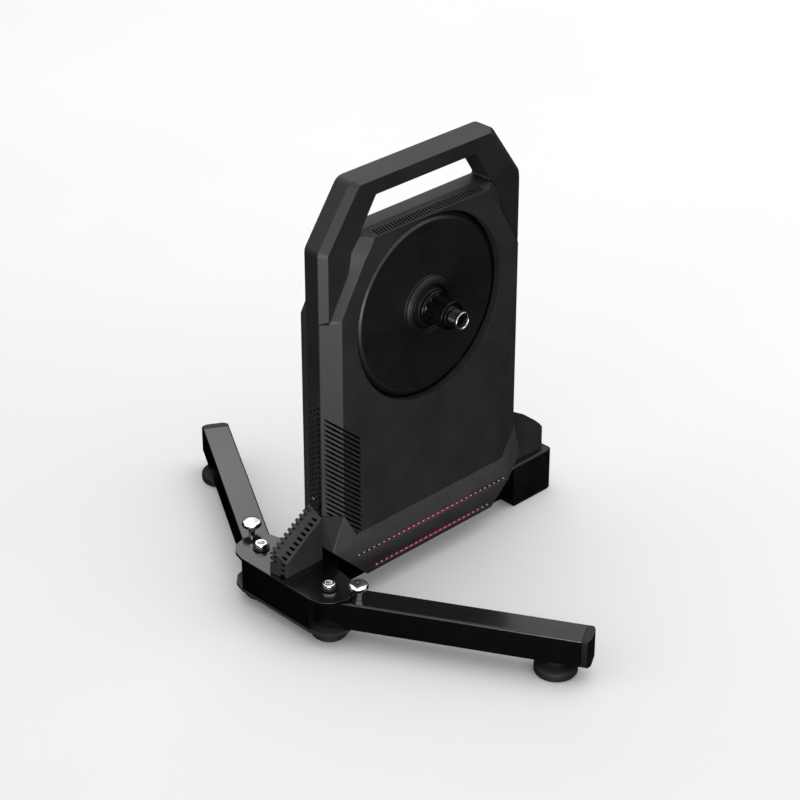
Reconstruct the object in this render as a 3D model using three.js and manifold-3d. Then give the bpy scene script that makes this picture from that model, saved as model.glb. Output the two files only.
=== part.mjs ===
// A direct drive bicycle trainer: an upright slab that carries the axle, on a spine with two folding legs.
// Millimetres. X runs along the axle with the sprocket side positive, Y along the bicycle with its front
// positive, and Z up from the floor. X = 0 is the middle of the base and Y = 0 the axle line.
import * as THREE from "three";
import { mergeVertices } from "three/addons/utils/BufferGeometryUtils.js";
import { ConvexGeometry } from "three/addons/geometries/ConvexGeometry.js";
import Module from "manifold-3d";

const wasm = await Module();
wasm.setup();

// Gap between pieces that rest on each other, and the overshoot of a cut past a face.
const FIT = 0.3;
const PAST = 1;

// Axle line.
const AXLE_HEIGHT = 340;
const AXLE_REACH = 79;
const DROPOUT_SPACING = 142;

// Slab, as seen along the axle. Its middle stands a little in front of the axle line.
const SLAB_WIDTH = 315.6;
const SLAB_SHIFT = 2.8;
const SHOULDER_RUN = 49;
const SHOULDER_DROP = 70.5;
const SLAB_FOOT_BEVEL = 18;
const SHOULDER_ROUND = 14;

// Slab, through its thickness. The edge is where the sprocket side chamfer starts.
const SLAB_EDGE = 10;
const FRAME_DEPTH = 21;
const FRAME_CHAMFER = 8;
const TOP_CHAMFER = 4.5;
const COVER_RISE = 10;
const SHELL_DEPTH = 10;
const SHELL_TOP_DROP = 133.5;
const SHELL_TOP_SLOPE = 22;
const SHELL_EDGE = 2;
const WALL = 3;

// Handle opening and the inner edge of the side rails. Each corner is an inset from the side of the slab and
// a drop from its top.
const HANDLE_BAR = 22.5;
const GRIP_ROOM = 40;
const GRIP_TOP_INSET = 80;
const GRIP_FLOOR_INSET = 54.5;
const GRIP_ROUND = 2.5;
const FLOOR_BAR = 8;
const FLOOR_SLOPE = 4.5;
const RAIL_CORNERS = [[42, 80.5], [38, 103.5], [10, 152.5]];
const COVER_CORNERS = [[68, 67], [62, 78.5], [53, 90.5], [18, 150.5]];
const KNEE_STEP = 4;

// Pockets and bearing web of the frame.
const WEB_FRONT = 2;
const WEB_BACK = 2;
const POCKET_WALL = 4;
const POCKET_FLOOR = 18;
const BACK_POCKET_DROP = 152.5;

// Drive side cover. The margins lie between the round window and the handle, and the rotor and the window.
const DISC_HOLE = 114;
const DISC_MARGIN = 6;
const DISC_GAP = 3;
const HOLE_COLLAR = 7;

const LOUVRE_COUNT = 38;
const LOUVRE_INSET = 8;
const LOUVRE_WIDTH = 2.2;
const LOUVRE_MARGIN = 1.5;
const LOUVRE_LENGTH = 10.7;
const VENT_COUNT = 23;
const VENT_PITCH = 6.4;
const VENT_WIDTH = 3;
const VENT_START = 105;
const VENT_RUN = 42;
const VENT_FALL = 36;
const VENT_RIM = 3;

// Short slots in the frame's end faces, one beside each vent but the lowest.
const NOTCH_SKIP = 2;
const NOTCH_EDGE = 1;
const NOTCH_LENGTH = 6;
const NOTCH_DEPTH = 2;

// Lit skirt under the drive side cover.
const SKIRT_BOTTOM = 29;
const SKIRT_BREAK = 57;
const SKIRT_CREST = 67;
const SKIRT_SIDE = 79;
const SKIRT_TOP = 88;
const SKIRT_PEAK = 121;
const SKIRT_FLARE = 5;
const SKIRT_BOTTOM_INSET = 50;
const SKIRT_BREAK_INSET = 22;
const SKIRT_CREST_INSET = 25;
const SKIRT_TOP_INSET = 37;
const SKIRT_SIDE_RISE = 11;
const SKIRT_POCKET = 6;
const SKIRT_DRAW = 8;
const SKIRT_CLEAR = 3.2;
const LAMP_HEIGHT = 2.6;
const LAMP_DEPTH = 1.6;
const LAMP_INSET = 3.8;
const LAMP_UPPER = 60;
const LAMP_LOWER = 34.5;

// Base: a bent steel channel at the rear, a tube spine and a moulded foot at the front.
const PLATE = 4;
const BASE_BOTTOM = 15.4;
const BASE_TOP = 61.7;
const PIVOT_SPREAD = 57.5;
const PIVOT_BACK = 189.5;
const EAR_RADIUS = 30.5;
const NECK_HALF = 35;
const NECK_FRONT = 156;
const TONGUE_FRONT = 146;
const SPINE_HALF = 19.3;
const SPINE_WALL = 3;
const SPINE_REAR = 170;
const SPINE_FRONT = 157;
const SPINE_EDGE = 2;
const FOOT_LENGTH = 71.5;
const FOOT_ROUND = 12;
const FOOT_CREST = 10;
const FOOT_EDGE = 3;
const TENON_LENGTH = 24;
const PAD_RADIUS = 21;
const PAD_EDGE = 3;

// Folding legs.
const LEG_ANGLE = 30.2;
const LEG_WIDTH = 34;
const LEG_LIFT = 0.8;
const LEG_HEIGHT = 36;
const LEG_LENGTH = 294;
const LEG_WALL = 3;
const LEG_EDGE = 1.6;
const CAP_LENGTH = 10;
const CAP_BEVEL = 7;
const CAP_PLUG = 14;
const BOLT_RADIUS = 6;
const BOLT_HEAD = 7.5;
const BOLT_WASHER = 10;
const WASHER_THICK = 1.6;
const HEAD_HEIGHT = 6;
const HEAD_SHARES = [[1, 0.5], [0.7, 0.85], [0, 1]];
const FOOT_INSET = 31;
const FOOT_RADIUS = 25;
const FOOT_PAD = 12;
const STUD_RADIUS = 5;
const STUD_TOP = 45;
const STUD_COLLAR = 9;
const KNOB_REACH = 36;
const KNOB_SIDE = 4;
const KNOB_RADIUS = 11.5;
const KNOB_HEAD = 8;
const KNOB_STEM = 3.7;
const KNOB_NECK = 5.5;
const KNOB_SHARES = [[0.83, 0], [1, 0.25], [1, 0.5], [0.8, 0.8], [0.45, 1], [0, 1]];
const KNOB_RISE = 14;
const KNOB_TAIL = 22;
const KNOB_COLLAR = 6;
const KNOB_TRAVEL = 8;

// Grilles at both ends of the slab, each corner as distance from the slab and height over the base.
const GRILLE_NEAR = -12;
const GRILLE_FAR = 10;
const GRILLE_LOW = [[55, 0], [54, 18.5], [20, 42], [0, 56]];
const GRILLE_HIGH = [[61, 0], [60, 29], [16, 57], [0, 66]];
const FRONT_LOW = [[49, 0], [48.5, 17], [44, 21], [34, 30], [15, 44], [0, 55]];
const FRONT_HIGH = [[54.5, 0], [54, 25.5], [49.5, 31.5], [40, 40.5], [18, 58], [0, 68.5]];
const GRILLE_WALL = 3;
const GRILLE_RIM = 2.8;
const GRILLE_SLOTS = 12;
const GRILLE_SLOT = 3.2;
const GRILLE_SLOT_LENGTH = 6.4;
const GRILLE_PITCH = 7;
const GRILLE_START = 6;
const GROOVE_COUNT = 7;
const GROOVE_WIDTH = 2.2;
const GROOVE_DEPTH = 1.2;
const GROOVE_PITCH = 6.4;
const GROOVE_START = 8;

// Axle, sprocket side rotor and freewheel body.
const AXLE_RADIUS = 8.5;
const AXLE_BORE = 6.1;
const BOSS_RADIUS = 24;
const BOSS_END_RADIUS = 16;
const ADAPTER_RADIUS = 11;
const DROPOUT_RADIUS = 9.5;
const DROPOUT_LIP = 3.5;
const ADAPTER_LENGTH = 17;
const ROTOR_BACK = 4;
const RIM_INSET = 5;
const BELT_WIDTH = 10;
const BELT_THICK = 2.4;
const FLANGE_THICK = 1;
const FLANGE_RISE = 3.4;
const DISC_SINK = 5.5;
const RIM_SLOPES = [[8, 0], [3.5, 0.8], [1, 2.4], [0, 4.4]];
const DISC_PLATE = 4;
const RIM_THICK = 8;
const HUB_RADIUS = 26;
const HUB_STEP = 35.5;
const HUB_STEP_RISE = 5.5;
const HUB_REACH = 31;
const BEARING_OUTER = 14;
const BEARING_WIDTH = 7;
const FREEHUB_RADIUS = 17.3;
const FREEHUB_SPLINES = 9;
const SPLINE_DEPTH = 1.9;
const SPLINE_SHARES = [[0, 0], [0.3, 0], [0.6, 0], [0.66, 1], [0.94, 1]];
const FREEHUB_COLLAR = 3.4;
const FREEHUB_BEARING = 12;
const FREEHUB_BEARING_WIDTH = 5;

// Flywheel, its shaft and the belt drive.
const FLYWHEEL_MARGIN = 7;
const FLYWHEEL_RADIUS = 98;
const FLYWHEEL_THICK = 11.5;
const FLYWHEEL_RIM = 26;
const FLYWHEEL_WEB = 5;
const FLYWHEEL_HUB = 18;
const FLYWHEEL_SIDE = 2;
const SHAFT_RADIUS = 6;
const SHAFT_BEARING = 11;
const SHAFT_BEARING_WIDTH = 3.4;
const SHAFT_BOSS = 16;
const CAP_BULGE = 6;
const SMALL_PULLEY = 14;
const IDLER_RADIUS = 12;
const IDLER_PIN = 4;
const IDLER_PLACE_SHARE = 0.72;

// Eddy current brake, control board and power socket.
const CORE_WIDTH = 14;
const CORE_THICK = 7;
const CORE_SPACING = 52;
const COIL_WALL = 3.5;
const COIL_END = 7;
const AIR_GAP = 1;
const BRACKET_THICK = 4;
const BRACKET_CLEAR = 8.7;
const BRACKET_MARGIN = 10;
const BOARD_CLEAR = 10;
const BOARD_HEIGHT = 100;
const BOARD_THICK = 1.6;
const BOARD_POST = 3;
const BOARD_MARGIN = 4.5;
const BOARD_INSET = 6;
const BOARD_RAISE = 4;
const BOARD_RISE = 55;
const SOCKET_RADIUS = 6;
const SOCKET_FLANGE = 9;
const SOCKET_DEPTH = 9;
const SOCKET_BORE = 3.2;
const SOCKET_LIP = 1.5;
const SOCKET_INSET = 40;
const SOCKET_HEIGHT = 98;

// Steps of the round pieces.
const FINE = 40;
const ROUND = 20;
const SMALL = 12;
const CORNER = 3;

// Places worked out from the sizes above.
const HALF = SLAB_WIDTH / 2;
const X_BACK = SLAB_EDGE - FRAME_DEPTH;
const X_FRONT = SLAB_EDGE + FRAME_CHAMFER;
const X_COVER = X_FRONT + COVER_RISE;
const X_SHELL = X_BACK - SHELL_DEPTH;
const X_SKIRT = X_COVER + SKIRT_FLARE;
const SLAB_TOP = AXLE_HEIGHT + DISC_HOLE + DISC_MARGIN + GRIP_ROOM + HANDLE_BAR;
const SLAB_FOOT = BASE_TOP + FIT;
const GRIP_FLOOR = SLAB_TOP - HANDLE_BAR - GRIP_ROOM;
const KNEE = SLAB_TOP - RAIL_CORNERS[2][1];
const LOUVRE_SPAN = SLAB_WIDTH - (COVER_CORNERS[0][0] + LOUVRE_INSET) * 2;
const LEG_BOTTOM = BASE_BOTTOM + PLATE + LEG_LIFT;
const LEG_TOP = LEG_BOTTOM + LEG_HEIGHT;
const SPINE_BOTTOM = BASE_BOTTOM + PLATE + FIT;
const SPINE_TOP = BASE_TOP - PLATE - FIT;
const DISC_RADIUS = DISC_HOLE - DISC_GAP;
const BELT_RADIUS = DISC_RADIUS - RIM_INSET;
const SHAFT_HEIGHT = SLAB_FOOT + POCKET_FLOOR + FLYWHEEL_MARGIN + FLYWHEEL_RADIUS;
const FLYWHEEL_DROP = AXLE_HEIGHT - SHAFT_HEIGHT;
const AXLE_PLACE = -SLAB_SHIFT;
const POCKET_HALF = HALF - POCKET_WALL - WALL;
const POCKET_REACH = POCKET_HALF - SLAB_SHIFT;
const BRACKET_FOOT = POCKET_REACH - BRACKET_CLEAR - BRACKET_THICK;
const CORE_LENGTH = BRACKET_FOOT - FIT - AIR_GAP - FLYWHEEL_RADIUS;
const COIL_LENGTH = CORE_LENGTH - COIL_END * 2;
const BOARD_WIDTH = POCKET_REACH - BOARD_INSET - BOARD_CLEAR - FLYWHEEL_RADIUS;
const FOOT_REACH = LEG_LENGTH - FOOT_INSET;
const COVER_FOOT = SKIRT_TOP + FIT;
const X_BOSS = AXLE_REACH - DROPOUT_SPACING + ADAPTER_LENGTH + FIT;
const X_DISC = X_COVER - DISC_SINK;
const BELT_BACK = ROTOR_BACK + FLANGE_THICK + FIT;
const BELT_FRONT = BELT_BACK + BELT_WIDTH;
const X_RIM = BELT_FRONT + FIT;
const X_WEB_BACK = -WEB_BACK;
const FLYWHEEL_FRONT = X_WEB_BACK - FLYWHEEL_SIDE;
const FLYWHEEL_BACK = FLYWHEEL_FRONT - FLYWHEEL_THICK;
const FREEHUB_END = AXLE_REACH - ADAPTER_LENGTH - FIT;
const X_SHELL_CAP = X_SHELL - CAP_BULGE;
const SOCKET_PLACE = -HALF + SOCKET_INSET;

// Lean of the belt's straight runs, from the two radii and the distance between the shafts.
const BELT_LEAN = Math.asin((BELT_RADIUS - SMALL_PULLEY) / FLYWHEEL_DROP);

// A surface by its colour, roughness and metalness.
function paint(color, roughness, metalness) {
  return new THREE.MeshStandardMaterial({ color, roughness, metalness });
}

const bodyBlack = paint("#26272a", 0.6, 0.1);
const coverBlack = paint("#2a2b2e", 0.7, 0.0);
const baseBlack = paint("#121214", 0.22, 0.3);
const softBlack = paint("#161617", 0.85, 0.0);
const discBlack = paint("#17181a", 0.45, 0.4);
const chrome = paint("#d8dadd", 0.12, 1.0);
const alloy = paint("#b9bcc0", 0.35, 0.9);
const steel = paint("#8e9195", 0.4, 0.9);
const copper = paint("#b06a3a", 0.4, 0.9);
const board = paint("#1d4a2c", 0.6, 0.0);
const lampRed = paint("#c01818", 0.3, 0.0);

// Turns a geometry into a closed solid, faces outward.
function solid(geometry) {
  geometry.deleteAttribute("normal");
  geometry.deleteAttribute("uv");
  const welded = mergeVertices(geometry);
  const spots = welded.getAttribute("position").array;
  const order = welded.index.array;
  const faces = [];
  let volume = 0;
  for (let i = 0; i < order.length; i += 3) {
    const [a, b, c] = [order[i], order[i + 1], order[i + 2]];
    if (a === b || b === c || c === a) continue;
    faces.push(a, b, c);
    const [p, q, r] = [a, b, c].map((n) => new THREE.Vector3().fromArray(spots, n * 3));
    volume += p.dot(q.cross(r));
  }
  if (volume < 0) faces.reverse();
  const mesh = new wasm.Mesh({
    numProp: 3,
    vertProperties: Float32Array.from(spots),
    triVerts: Uint32Array.from(faces),
  });
  return new wasm.Manifold(mesh);
}

// Gives a solid its name and material as one piece of the part.
function piece(name, body, material) {
  const made = body.getMesh();
  const geometry = new THREE.BufferGeometry();
  geometry.setAttribute("position", new THREE.BufferAttribute(Float32Array.from(made.vertProperties), 3));
  geometry.setIndex(new THREE.BufferAttribute(Uint32Array.from(made.triVerts), 1));
  const flat = geometry.toNonIndexed();
  flat.computeVertexNormals();
  const mesh = new THREE.Mesh(flat, material);
  mesh.name = name;
  return mesh;
}

// Joins several solids.
function union(bodies) {
  return bodies.reduce((all, next) => all.add(next));
}

// Takes several solids out of one.
function cut(body, tools) {
  return tools.reduce((left, tool) => left.subtract(tool), body);
}

// A block between two corners.
function block(x0, x1, y0, y1, z0, z1) {
  const box = new THREE.BoxGeometry(x1 - x0, y1 - y0, z1 - z0);
  return solid(box.translate((x0 + x1) / 2, (y0 + y1) / 2, (z0 + z1) / 2));
}

// A flat piece with an outline in X and Y, between two heights.
function plate(outline, z0, z1) {
  const shape = new THREE.Shape(outline.map(([x, y]) => new THREE.Vector2(x, y)));
  const body = new THREE.ExtrudeGeometry(shape, { depth: z1 - z0, bevelEnabled: false, steps: 1 });
  return solid(body.translate(0, 0, z0));
}

// A body that runs along X through outlines in Y and Z with equal numbers of corners.
function loft(rings) {
  const count = rings[0].outline.length;
  const spots = [];
  const faces = [];
  for (const ring of rings) {
    for (const [y, z] of ring.outline) spots.push(ring.x, y, z);
  }
  for (let r = 0; r + 1 < rings.length; r += 1) {
    for (let i = 0; i < count; i += 1) {
      const j = (i + 1) % count;
      const [a, b, c, d] = [r * count + i, r * count + j, (r + 1) * count + j, (r + 1) * count + i];
      faces.push(a, b, c, a, c, d);
    }
  }
  const last = (rings.length - 1) * count;
  const ends = [rings[0], rings[rings.length - 1]];
  ends.forEach((ring, end) => {
    const corners = ring.outline.map(([y, z]) => new THREE.Vector2(y, z));
    for (const [a, b, c] of THREE.ShapeUtils.triangulateShape(corners, [])) {
      if (end === 0) faces.push(c, b, a);
      else faces.push(last + a, last + b, last + c);
    }
  });
  const geometry = new THREE.BufferGeometry();
  geometry.setAttribute("position", new THREE.Float32BufferAttribute(spots, 3));
  geometry.setIndex(faces);
  return solid(geometry);
}

// A body of one outline in Y and Z between two places along X.
function panel(outline, x0, x1) {
  return loft([{ x: x0, outline }, { x: x1, outline }]);
}

// A turned body from [radius, place] corners, about the line that runs along X.
function turnedX(profile, steps, y, z) {
  const corners = profile.map(([radius, place]) => new THREE.Vector2(radius, place));
  if (profile[0][0] > 0) corners.push(corners[0].clone());
  return solid(new THREE.LatheGeometry(corners, steps).rotateZ(-Math.PI / 2).translate(0, y, z));
}

// A turned body about the line that stands along Z.
function turnedZ(profile, steps, x, y) {
  const corners = profile.map(([radius, place]) => new THREE.Vector2(radius, place));
  if (profile[0][0] > 0) corners.push(corners[0].clone());
  return solid(new THREE.LatheGeometry(corners, steps).rotateX(Math.PI / 2).translate(x, y, 0));
}

// A plain round bar or bore along X, and one along Z.
function roundX(radius, x0, x1, steps, y, z) {
  return turnedX([[0, x0], [radius, x0], [radius, x1], [0, x1]], steps, y, z);
}

function roundZ(radius, z0, z1, steps, x, y) {
  return turnedZ([[0, z0], [radius, z0], [radius, z1], [0, z1]], steps, x, y);
}

// A ring along X.
function ringX(inner, outer, x0, x1, steps, y, z) {
  return turnedX([[inner, x0], [outer, x0], [outer, x1], [inner, x1]], steps, y, z);
}

// The full outline of a shape that is the same on both sides of Y = 0, from its right half, bottom to top.
function mirrored(half) {
  const left = half.map(([y, z]) => [-y, z]).reverse();
  return [...half, ...left];
}

// Rounds the corners of an outline with arcs of one radius.
function rounded(outline, radius, steps) {
  const out = [];
  outline.forEach((corner, i) => {
    const here = new THREE.Vector2(...corner);
    const count = outline.length;
    const back = new THREE.Vector2(...outline[(i + count - 1) % count]).sub(here).normalize();
    const ahead = new THREE.Vector2(...outline[(i + 1) % count]).sub(here).normalize();
    const half = Math.acos(back.dot(ahead)) / 2;
    const reach = radius / Math.tan(half);
    const inward = back.clone().add(ahead).normalize();
    const centre = here.clone().addScaledVector(inward, radius / Math.sin(half));
    const from = here.clone().addScaledVector(back, reach).sub(centre);
    const to = here.clone().addScaledVector(ahead, reach).sub(centre);
    const turn = Math.atan2(from.cross(to), from.dot(to));
    for (let s = 0; s <= steps; s += 1) {
      const spot = from.clone().rotateAround(new THREE.Vector2(), (turn * s) / steps).add(centre);
      out.push([spot.x, spot.y]);
    }
  });
  return out;
}

// Moves each side of a closed outline inward by one distance.
function inset(outline, distance) {
  const count = outline.length;
  const sides = outline.map(([y, z], i) => {
    const [y2, z2] = outline[(i + 1) % count];
    const length = Math.hypot(y2 - y, z2 - z);
    const normal = [-(z2 - z) / length, (y2 - y) / length];
    return { normal, offset: normal[0] * y + normal[1] * z + distance };
  });
  return outline.map((corner, i) => {
    const a = sides[(i + count - 1) % count];
    const b = sides[i];
    const cross = a.normal[0] * b.normal[1] - a.normal[1] * b.normal[0];
    const y = (a.offset * b.normal[1] - b.offset * a.normal[1]) / cross;
    const z = (a.normal[0] * b.offset - b.normal[0] * a.offset) / cross;
    return [y, z];
  });
}

// A corner given as inset from the slab's side and drop from its top.
function corner([side, drop], extra = 0) {
  return [HALF - side - extra, SLAB_TOP - drop];
}

// Outline of the whole slab. A rise carries its shoulders on up to a higher top.
function slabOutline(rise) {
  const half = [
    [HALF - SLAB_FOOT_BEVEL, SLAB_FOOT],
    [HALF, SLAB_FOOT + SLAB_FOOT_BEVEL],
    [HALF, SLAB_TOP - SHOULDER_DROP],
    [HALF - SHOULDER_RUN - (rise * SHOULDER_RUN) / SHOULDER_DROP, SLAB_TOP + rise],
  ];
  return rounded(mirrored(half), SHOULDER_ROUND, CORNER);
}

// Opening of the handle: its sides run parallel to the shoulders of the slab.
function gripOutline() {
  const half = [[HALF - GRIP_FLOOR_INSET, GRIP_FLOOR], corner([GRIP_TOP_INSET, HANDLE_BAR])];
  return rounded(mirrored(half), GRIP_ROUND, CORNER);
}

// Edge of the seat that takes the cover, inside the rails, less a gap.
function seatHalf(gap) {
  const rails = RAIL_CORNERS.map((place) => corner(place, gap)).reverse();
  return [...rails, [HALF - GRIP_FLOOR_INSET - gap, GRIP_FLOOR - gap]];
}

// Structural frame: rails, handle and the web that carries the axle and the flywheel shaft, in one casting.
function archFrame() {
  const outer = slabOutline(0);
  const front = inset(slabOutline(FRAME_CHAMFER - TOP_CHAMFER), FRAME_CHAMFER);
  const blank = loft([
    { x: X_BACK, outline: outer },
    { x: SLAB_EDGE, outline: outer },
    { x: X_FRONT, outline: front },
  ]);
  const seat = mirrored([[HALF - RAIL_CORNERS[2][0], 0], ...seatHalf(0)]);
  const lowerFront = mirrored([
    [HALF + PAST, 0],
    [HALF + PAST, KNEE - KNEE_STEP + FIT + FIT],
    [HALF - RAIL_CORNERS[2][0] - PAST, KNEE + FIT + FIT],
  ]);
  const deep = mirrored([
    [HALF - POCKET_WALL - RAIL_CORNERS[2][0], SLAB_FOOT + POCKET_FLOOR],
    ...RAIL_CORNERS.map((place) => corner(place, POCKET_WALL)).reverse(),
    [HALF - GRIP_FLOOR_INSET - POCKET_WALL, GRIP_FLOOR - FLOOR_BAR],
  ]);
  const rear = mirrored([
    [POCKET_HALF, SLAB_FOOT + POCKET_FLOOR],
    [POCKET_HALF, SLAB_TOP - BACK_POCKET_DROP],
  ]);
  const hollowed = cut(blank, [
    panel(gripOutline(), X_BACK - PAST, X_FRONT + PAST),
    panel(seat, SLAB_EDGE, X_FRONT + PAST),
    panel(lowerFront, SLAB_EDGE, X_FRONT + PAST),
    panel(deep, WEB_FRONT, SLAB_EDGE + PAST),
    panel(rear, X_BACK - PAST, X_WEB_BACK),
  ]);
  const boss = turnedX(
    [[0, X_BOSS], [BOSS_END_RADIUS, X_BOSS], [BOSS_RADIUS, X_WEB_BACK], [0, X_WEB_BACK]],
    ROUND,
    AXLE_PLACE,
    AXLE_HEIGHT,
  );
  return cut(hollowed.add(boss), [
    endNotches(1),
    endNotches(-1),
    roundX(AXLE_RADIUS + FIT, X_BOSS - PAST, WEB_FRONT + PAST, ROUND, AXLE_PLACE, AXLE_HEIGHT),
    roundX(SHAFT_BEARING + FIT, X_WEB_BACK - PAST, WEB_FRONT + PAST, ROUND, AXLE_PLACE, SHAFT_HEIGHT),
  ]);
}

// Short level slots of one end face, beside its front edge.
function endNotches(side) {
  const x1 = SLAB_EDGE - NOTCH_EDGE;
  const slots = [];
  for (let i = NOTCH_SKIP; i < VENT_COUNT; i += 1) {
    const z0 = VENT_START + i * VENT_PITCH;
    const slot = block(x1 - NOTCH_LENGTH, x1, HALF - NOTCH_DEPTH, HALF + PAST, z0, z0 + VENT_WIDTH);
    slots.push(side > 0 ? slot : slot.mirror([0, 1, 0]));
  }
  return union(slots);
}

// Outlines of the drive side cover where it meets the frame, at the frame's face and at its own face.
function coverRings(grow) {
  const foot = COVER_FOOT - grow;
  const knee = KNEE - KNEE_STEP;
  const face = COVER_CORNERS.map((place) => corner(place, -grow)).reverse();
  const rails = seatHalf(FIT - grow).slice(0, RAIL_CORNERS.length);
  const edge = HALF + grow;
  const bend = HALF - FRAME_CHAMFER + grow;
  const side = HALF - FRAME_CHAMFER - COVER_RISE + grow;
  const slopeFall = (FLOOR_SLOPE * FRAME_CHAMFER) / (FRAME_CHAMFER + COVER_RISE);
  const slopeTop = [HALF - GRIP_FLOOR_INSET - FIT + grow, GRIP_FLOOR - FIT + grow];
  const slopeMid = [slopeTop[0], slopeTop[1] - slopeFall];
  return [
    { x: SLAB_EDGE + FIT, outline: mirrored([[edge, foot], [edge, knee], ...rails, slopeTop]) },
    { x: X_FRONT, outline: mirrored([[bend, foot], [bend, knee], ...rails, slopeMid]) },
    { x: X_COVER + grow, outline: mirrored([[side, foot], [side, face[0][1] - KNEE_STEP], ...face]) },
  ];
}

// Slanted vent slots of one lower corner of the cover, on side +1 or -1 of the slab.
function ventSlots(side) {
  const slots = [];
  for (let i = 0; i < VENT_COUNT; i += 1) {
    const top = VENT_START + i * VENT_PITCH;
    const outerY = HALF - VENT_RIM;
    const line = [
      [outerY, top],
      [outerY, top + VENT_WIDTH],
      [outerY - VENT_RUN, top + VENT_WIDTH - VENT_FALL],
      [outerY - VENT_RUN, top - VENT_FALL],
    ];
    const outline = line.map(([y, z]) => [side * y, z]);
    slots.push(panel(side > 0 ? outline : outline.reverse(), SLAB_EDGE + VENT_RIM, X_COVER + PAST));
  }
  return slots;
}

// Narrow slots in the slope behind the handle opening.
function louvres() {
  const pitch = LOUVRE_SPAN / (LOUVRE_COUNT - 1);
  const slots = [];
  for (let i = 0; i < LOUVRE_COUNT; i += 1) {
    const y = -LOUVRE_SPAN / 2 + i * pitch;
    const x1 = X_COVER - LOUVRE_MARGIN;
    const x0 = x1 - LOUVRE_LENGTH;
    const z0 = GRIP_FLOOR - FLOOR_SLOPE - WALL - LOUVRE_MARGIN;
    slots.push(block(x0, x1, y - LOUVRE_WIDTH / 2, y + LOUVRE_WIDTH / 2, z0, GRIP_FLOOR + PAST));
  }
  return slots;
}

// Raised cover of the sprocket side, a moulded shell with the round window for the rotor.
function driveCover() {
  const shell = loft(coverRings(0));
  const rings = coverRings(-WALL);
  rings[0].x = SLAB_EDGE - PAST;
  const back = X_COVER - WALL - HOLE_COLLAR;
  const rim = [back, X_COVER - WALL + FIT, FINE, AXLE_PLACE, AXLE_HEIGHT];
  const collar = ringX(DISC_HOLE, DISC_HOLE + WALL, ...rim);
  const opening = roundX(DISC_HOLE, back - PAST, X_COVER + PAST, FINE, AXLE_PLACE, AXLE_HEIGHT);
  const shaped = cut(shell.subtract(loft(rings)).add(collar), [opening, skirtBody(FIT)]);
  return cut(shaped, [union(louvres()), union(ventSlots(1)), union(ventSlots(-1))]);
}

// Rim of the far shell at one place along X, drawn in by one distance and lowered at its top by another.
function shellRim(x, drop, drawn) {
  const half = [
    [HALF - SLAB_FOOT_BEVEL - drawn, SLAB_FOOT + drawn],
    [HALF - drawn, SLAB_FOOT + SLAB_FOOT_BEVEL + drawn],
    [HALF - drawn, SLAB_TOP - SHELL_TOP_DROP - drop],
  ];
  return { x, outline: mirrored(half) };
}

// Shell of the far side, with a round window for the axle boss and a cap over the shaft's bearing.
function leftCover() {
  const seam = X_BACK - FIT;
  const slope = (SHELL_TOP_SLOPE * (SHELL_DEPTH - SHELL_EDGE)) / SHELL_DEPTH;
  const outer = loft([
    shellRim(X_SHELL, SHELL_TOP_SLOPE + SHELL_EDGE, SHELL_EDGE),
    shellRim(X_SHELL + SHELL_EDGE, slope, 0),
    shellRim(seam, 0, 0),
  ]);
  const inner = loft([
    shellRim(X_SHELL + WALL, SHELL_TOP_SLOPE + WALL, WALL + FIT),
    shellRim(seam + PAST, WALL, WALL + FIT),
  ]);
  const [outside, inside] = [X_SHELL - PAST, X_SHELL + WALL + PAST];
  const bore = SHAFT_BEARING + FIT;
  const seat = [ROUND, AXLE_PLACE, SHAFT_HEIGHT];
  const shell = cut(outer, [inner, roundX(bore, outside, inside, ...seat)]);
  const cap = ringX(bore, SHAFT_BOSS, X_SHELL_CAP + WALL - PAST, X_SHELL + WALL, ...seat);
  const lid = roundX(SHAFT_BOSS, X_SHELL_CAP, X_SHELL_CAP + WALL, ...seat);
  return cut(union([shell, cap, lid]), [
    roundX(BOSS_RADIUS + PAST, outside, X_BACK + PAST, ROUND, AXLE_PLACE, AXLE_HEIGHT),
    roundX(SOCKET_RADIUS + FIT, outside, inside, SMALL, SOCKET_PLACE, SOCKET_HEIGHT),
  ]);
}

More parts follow.
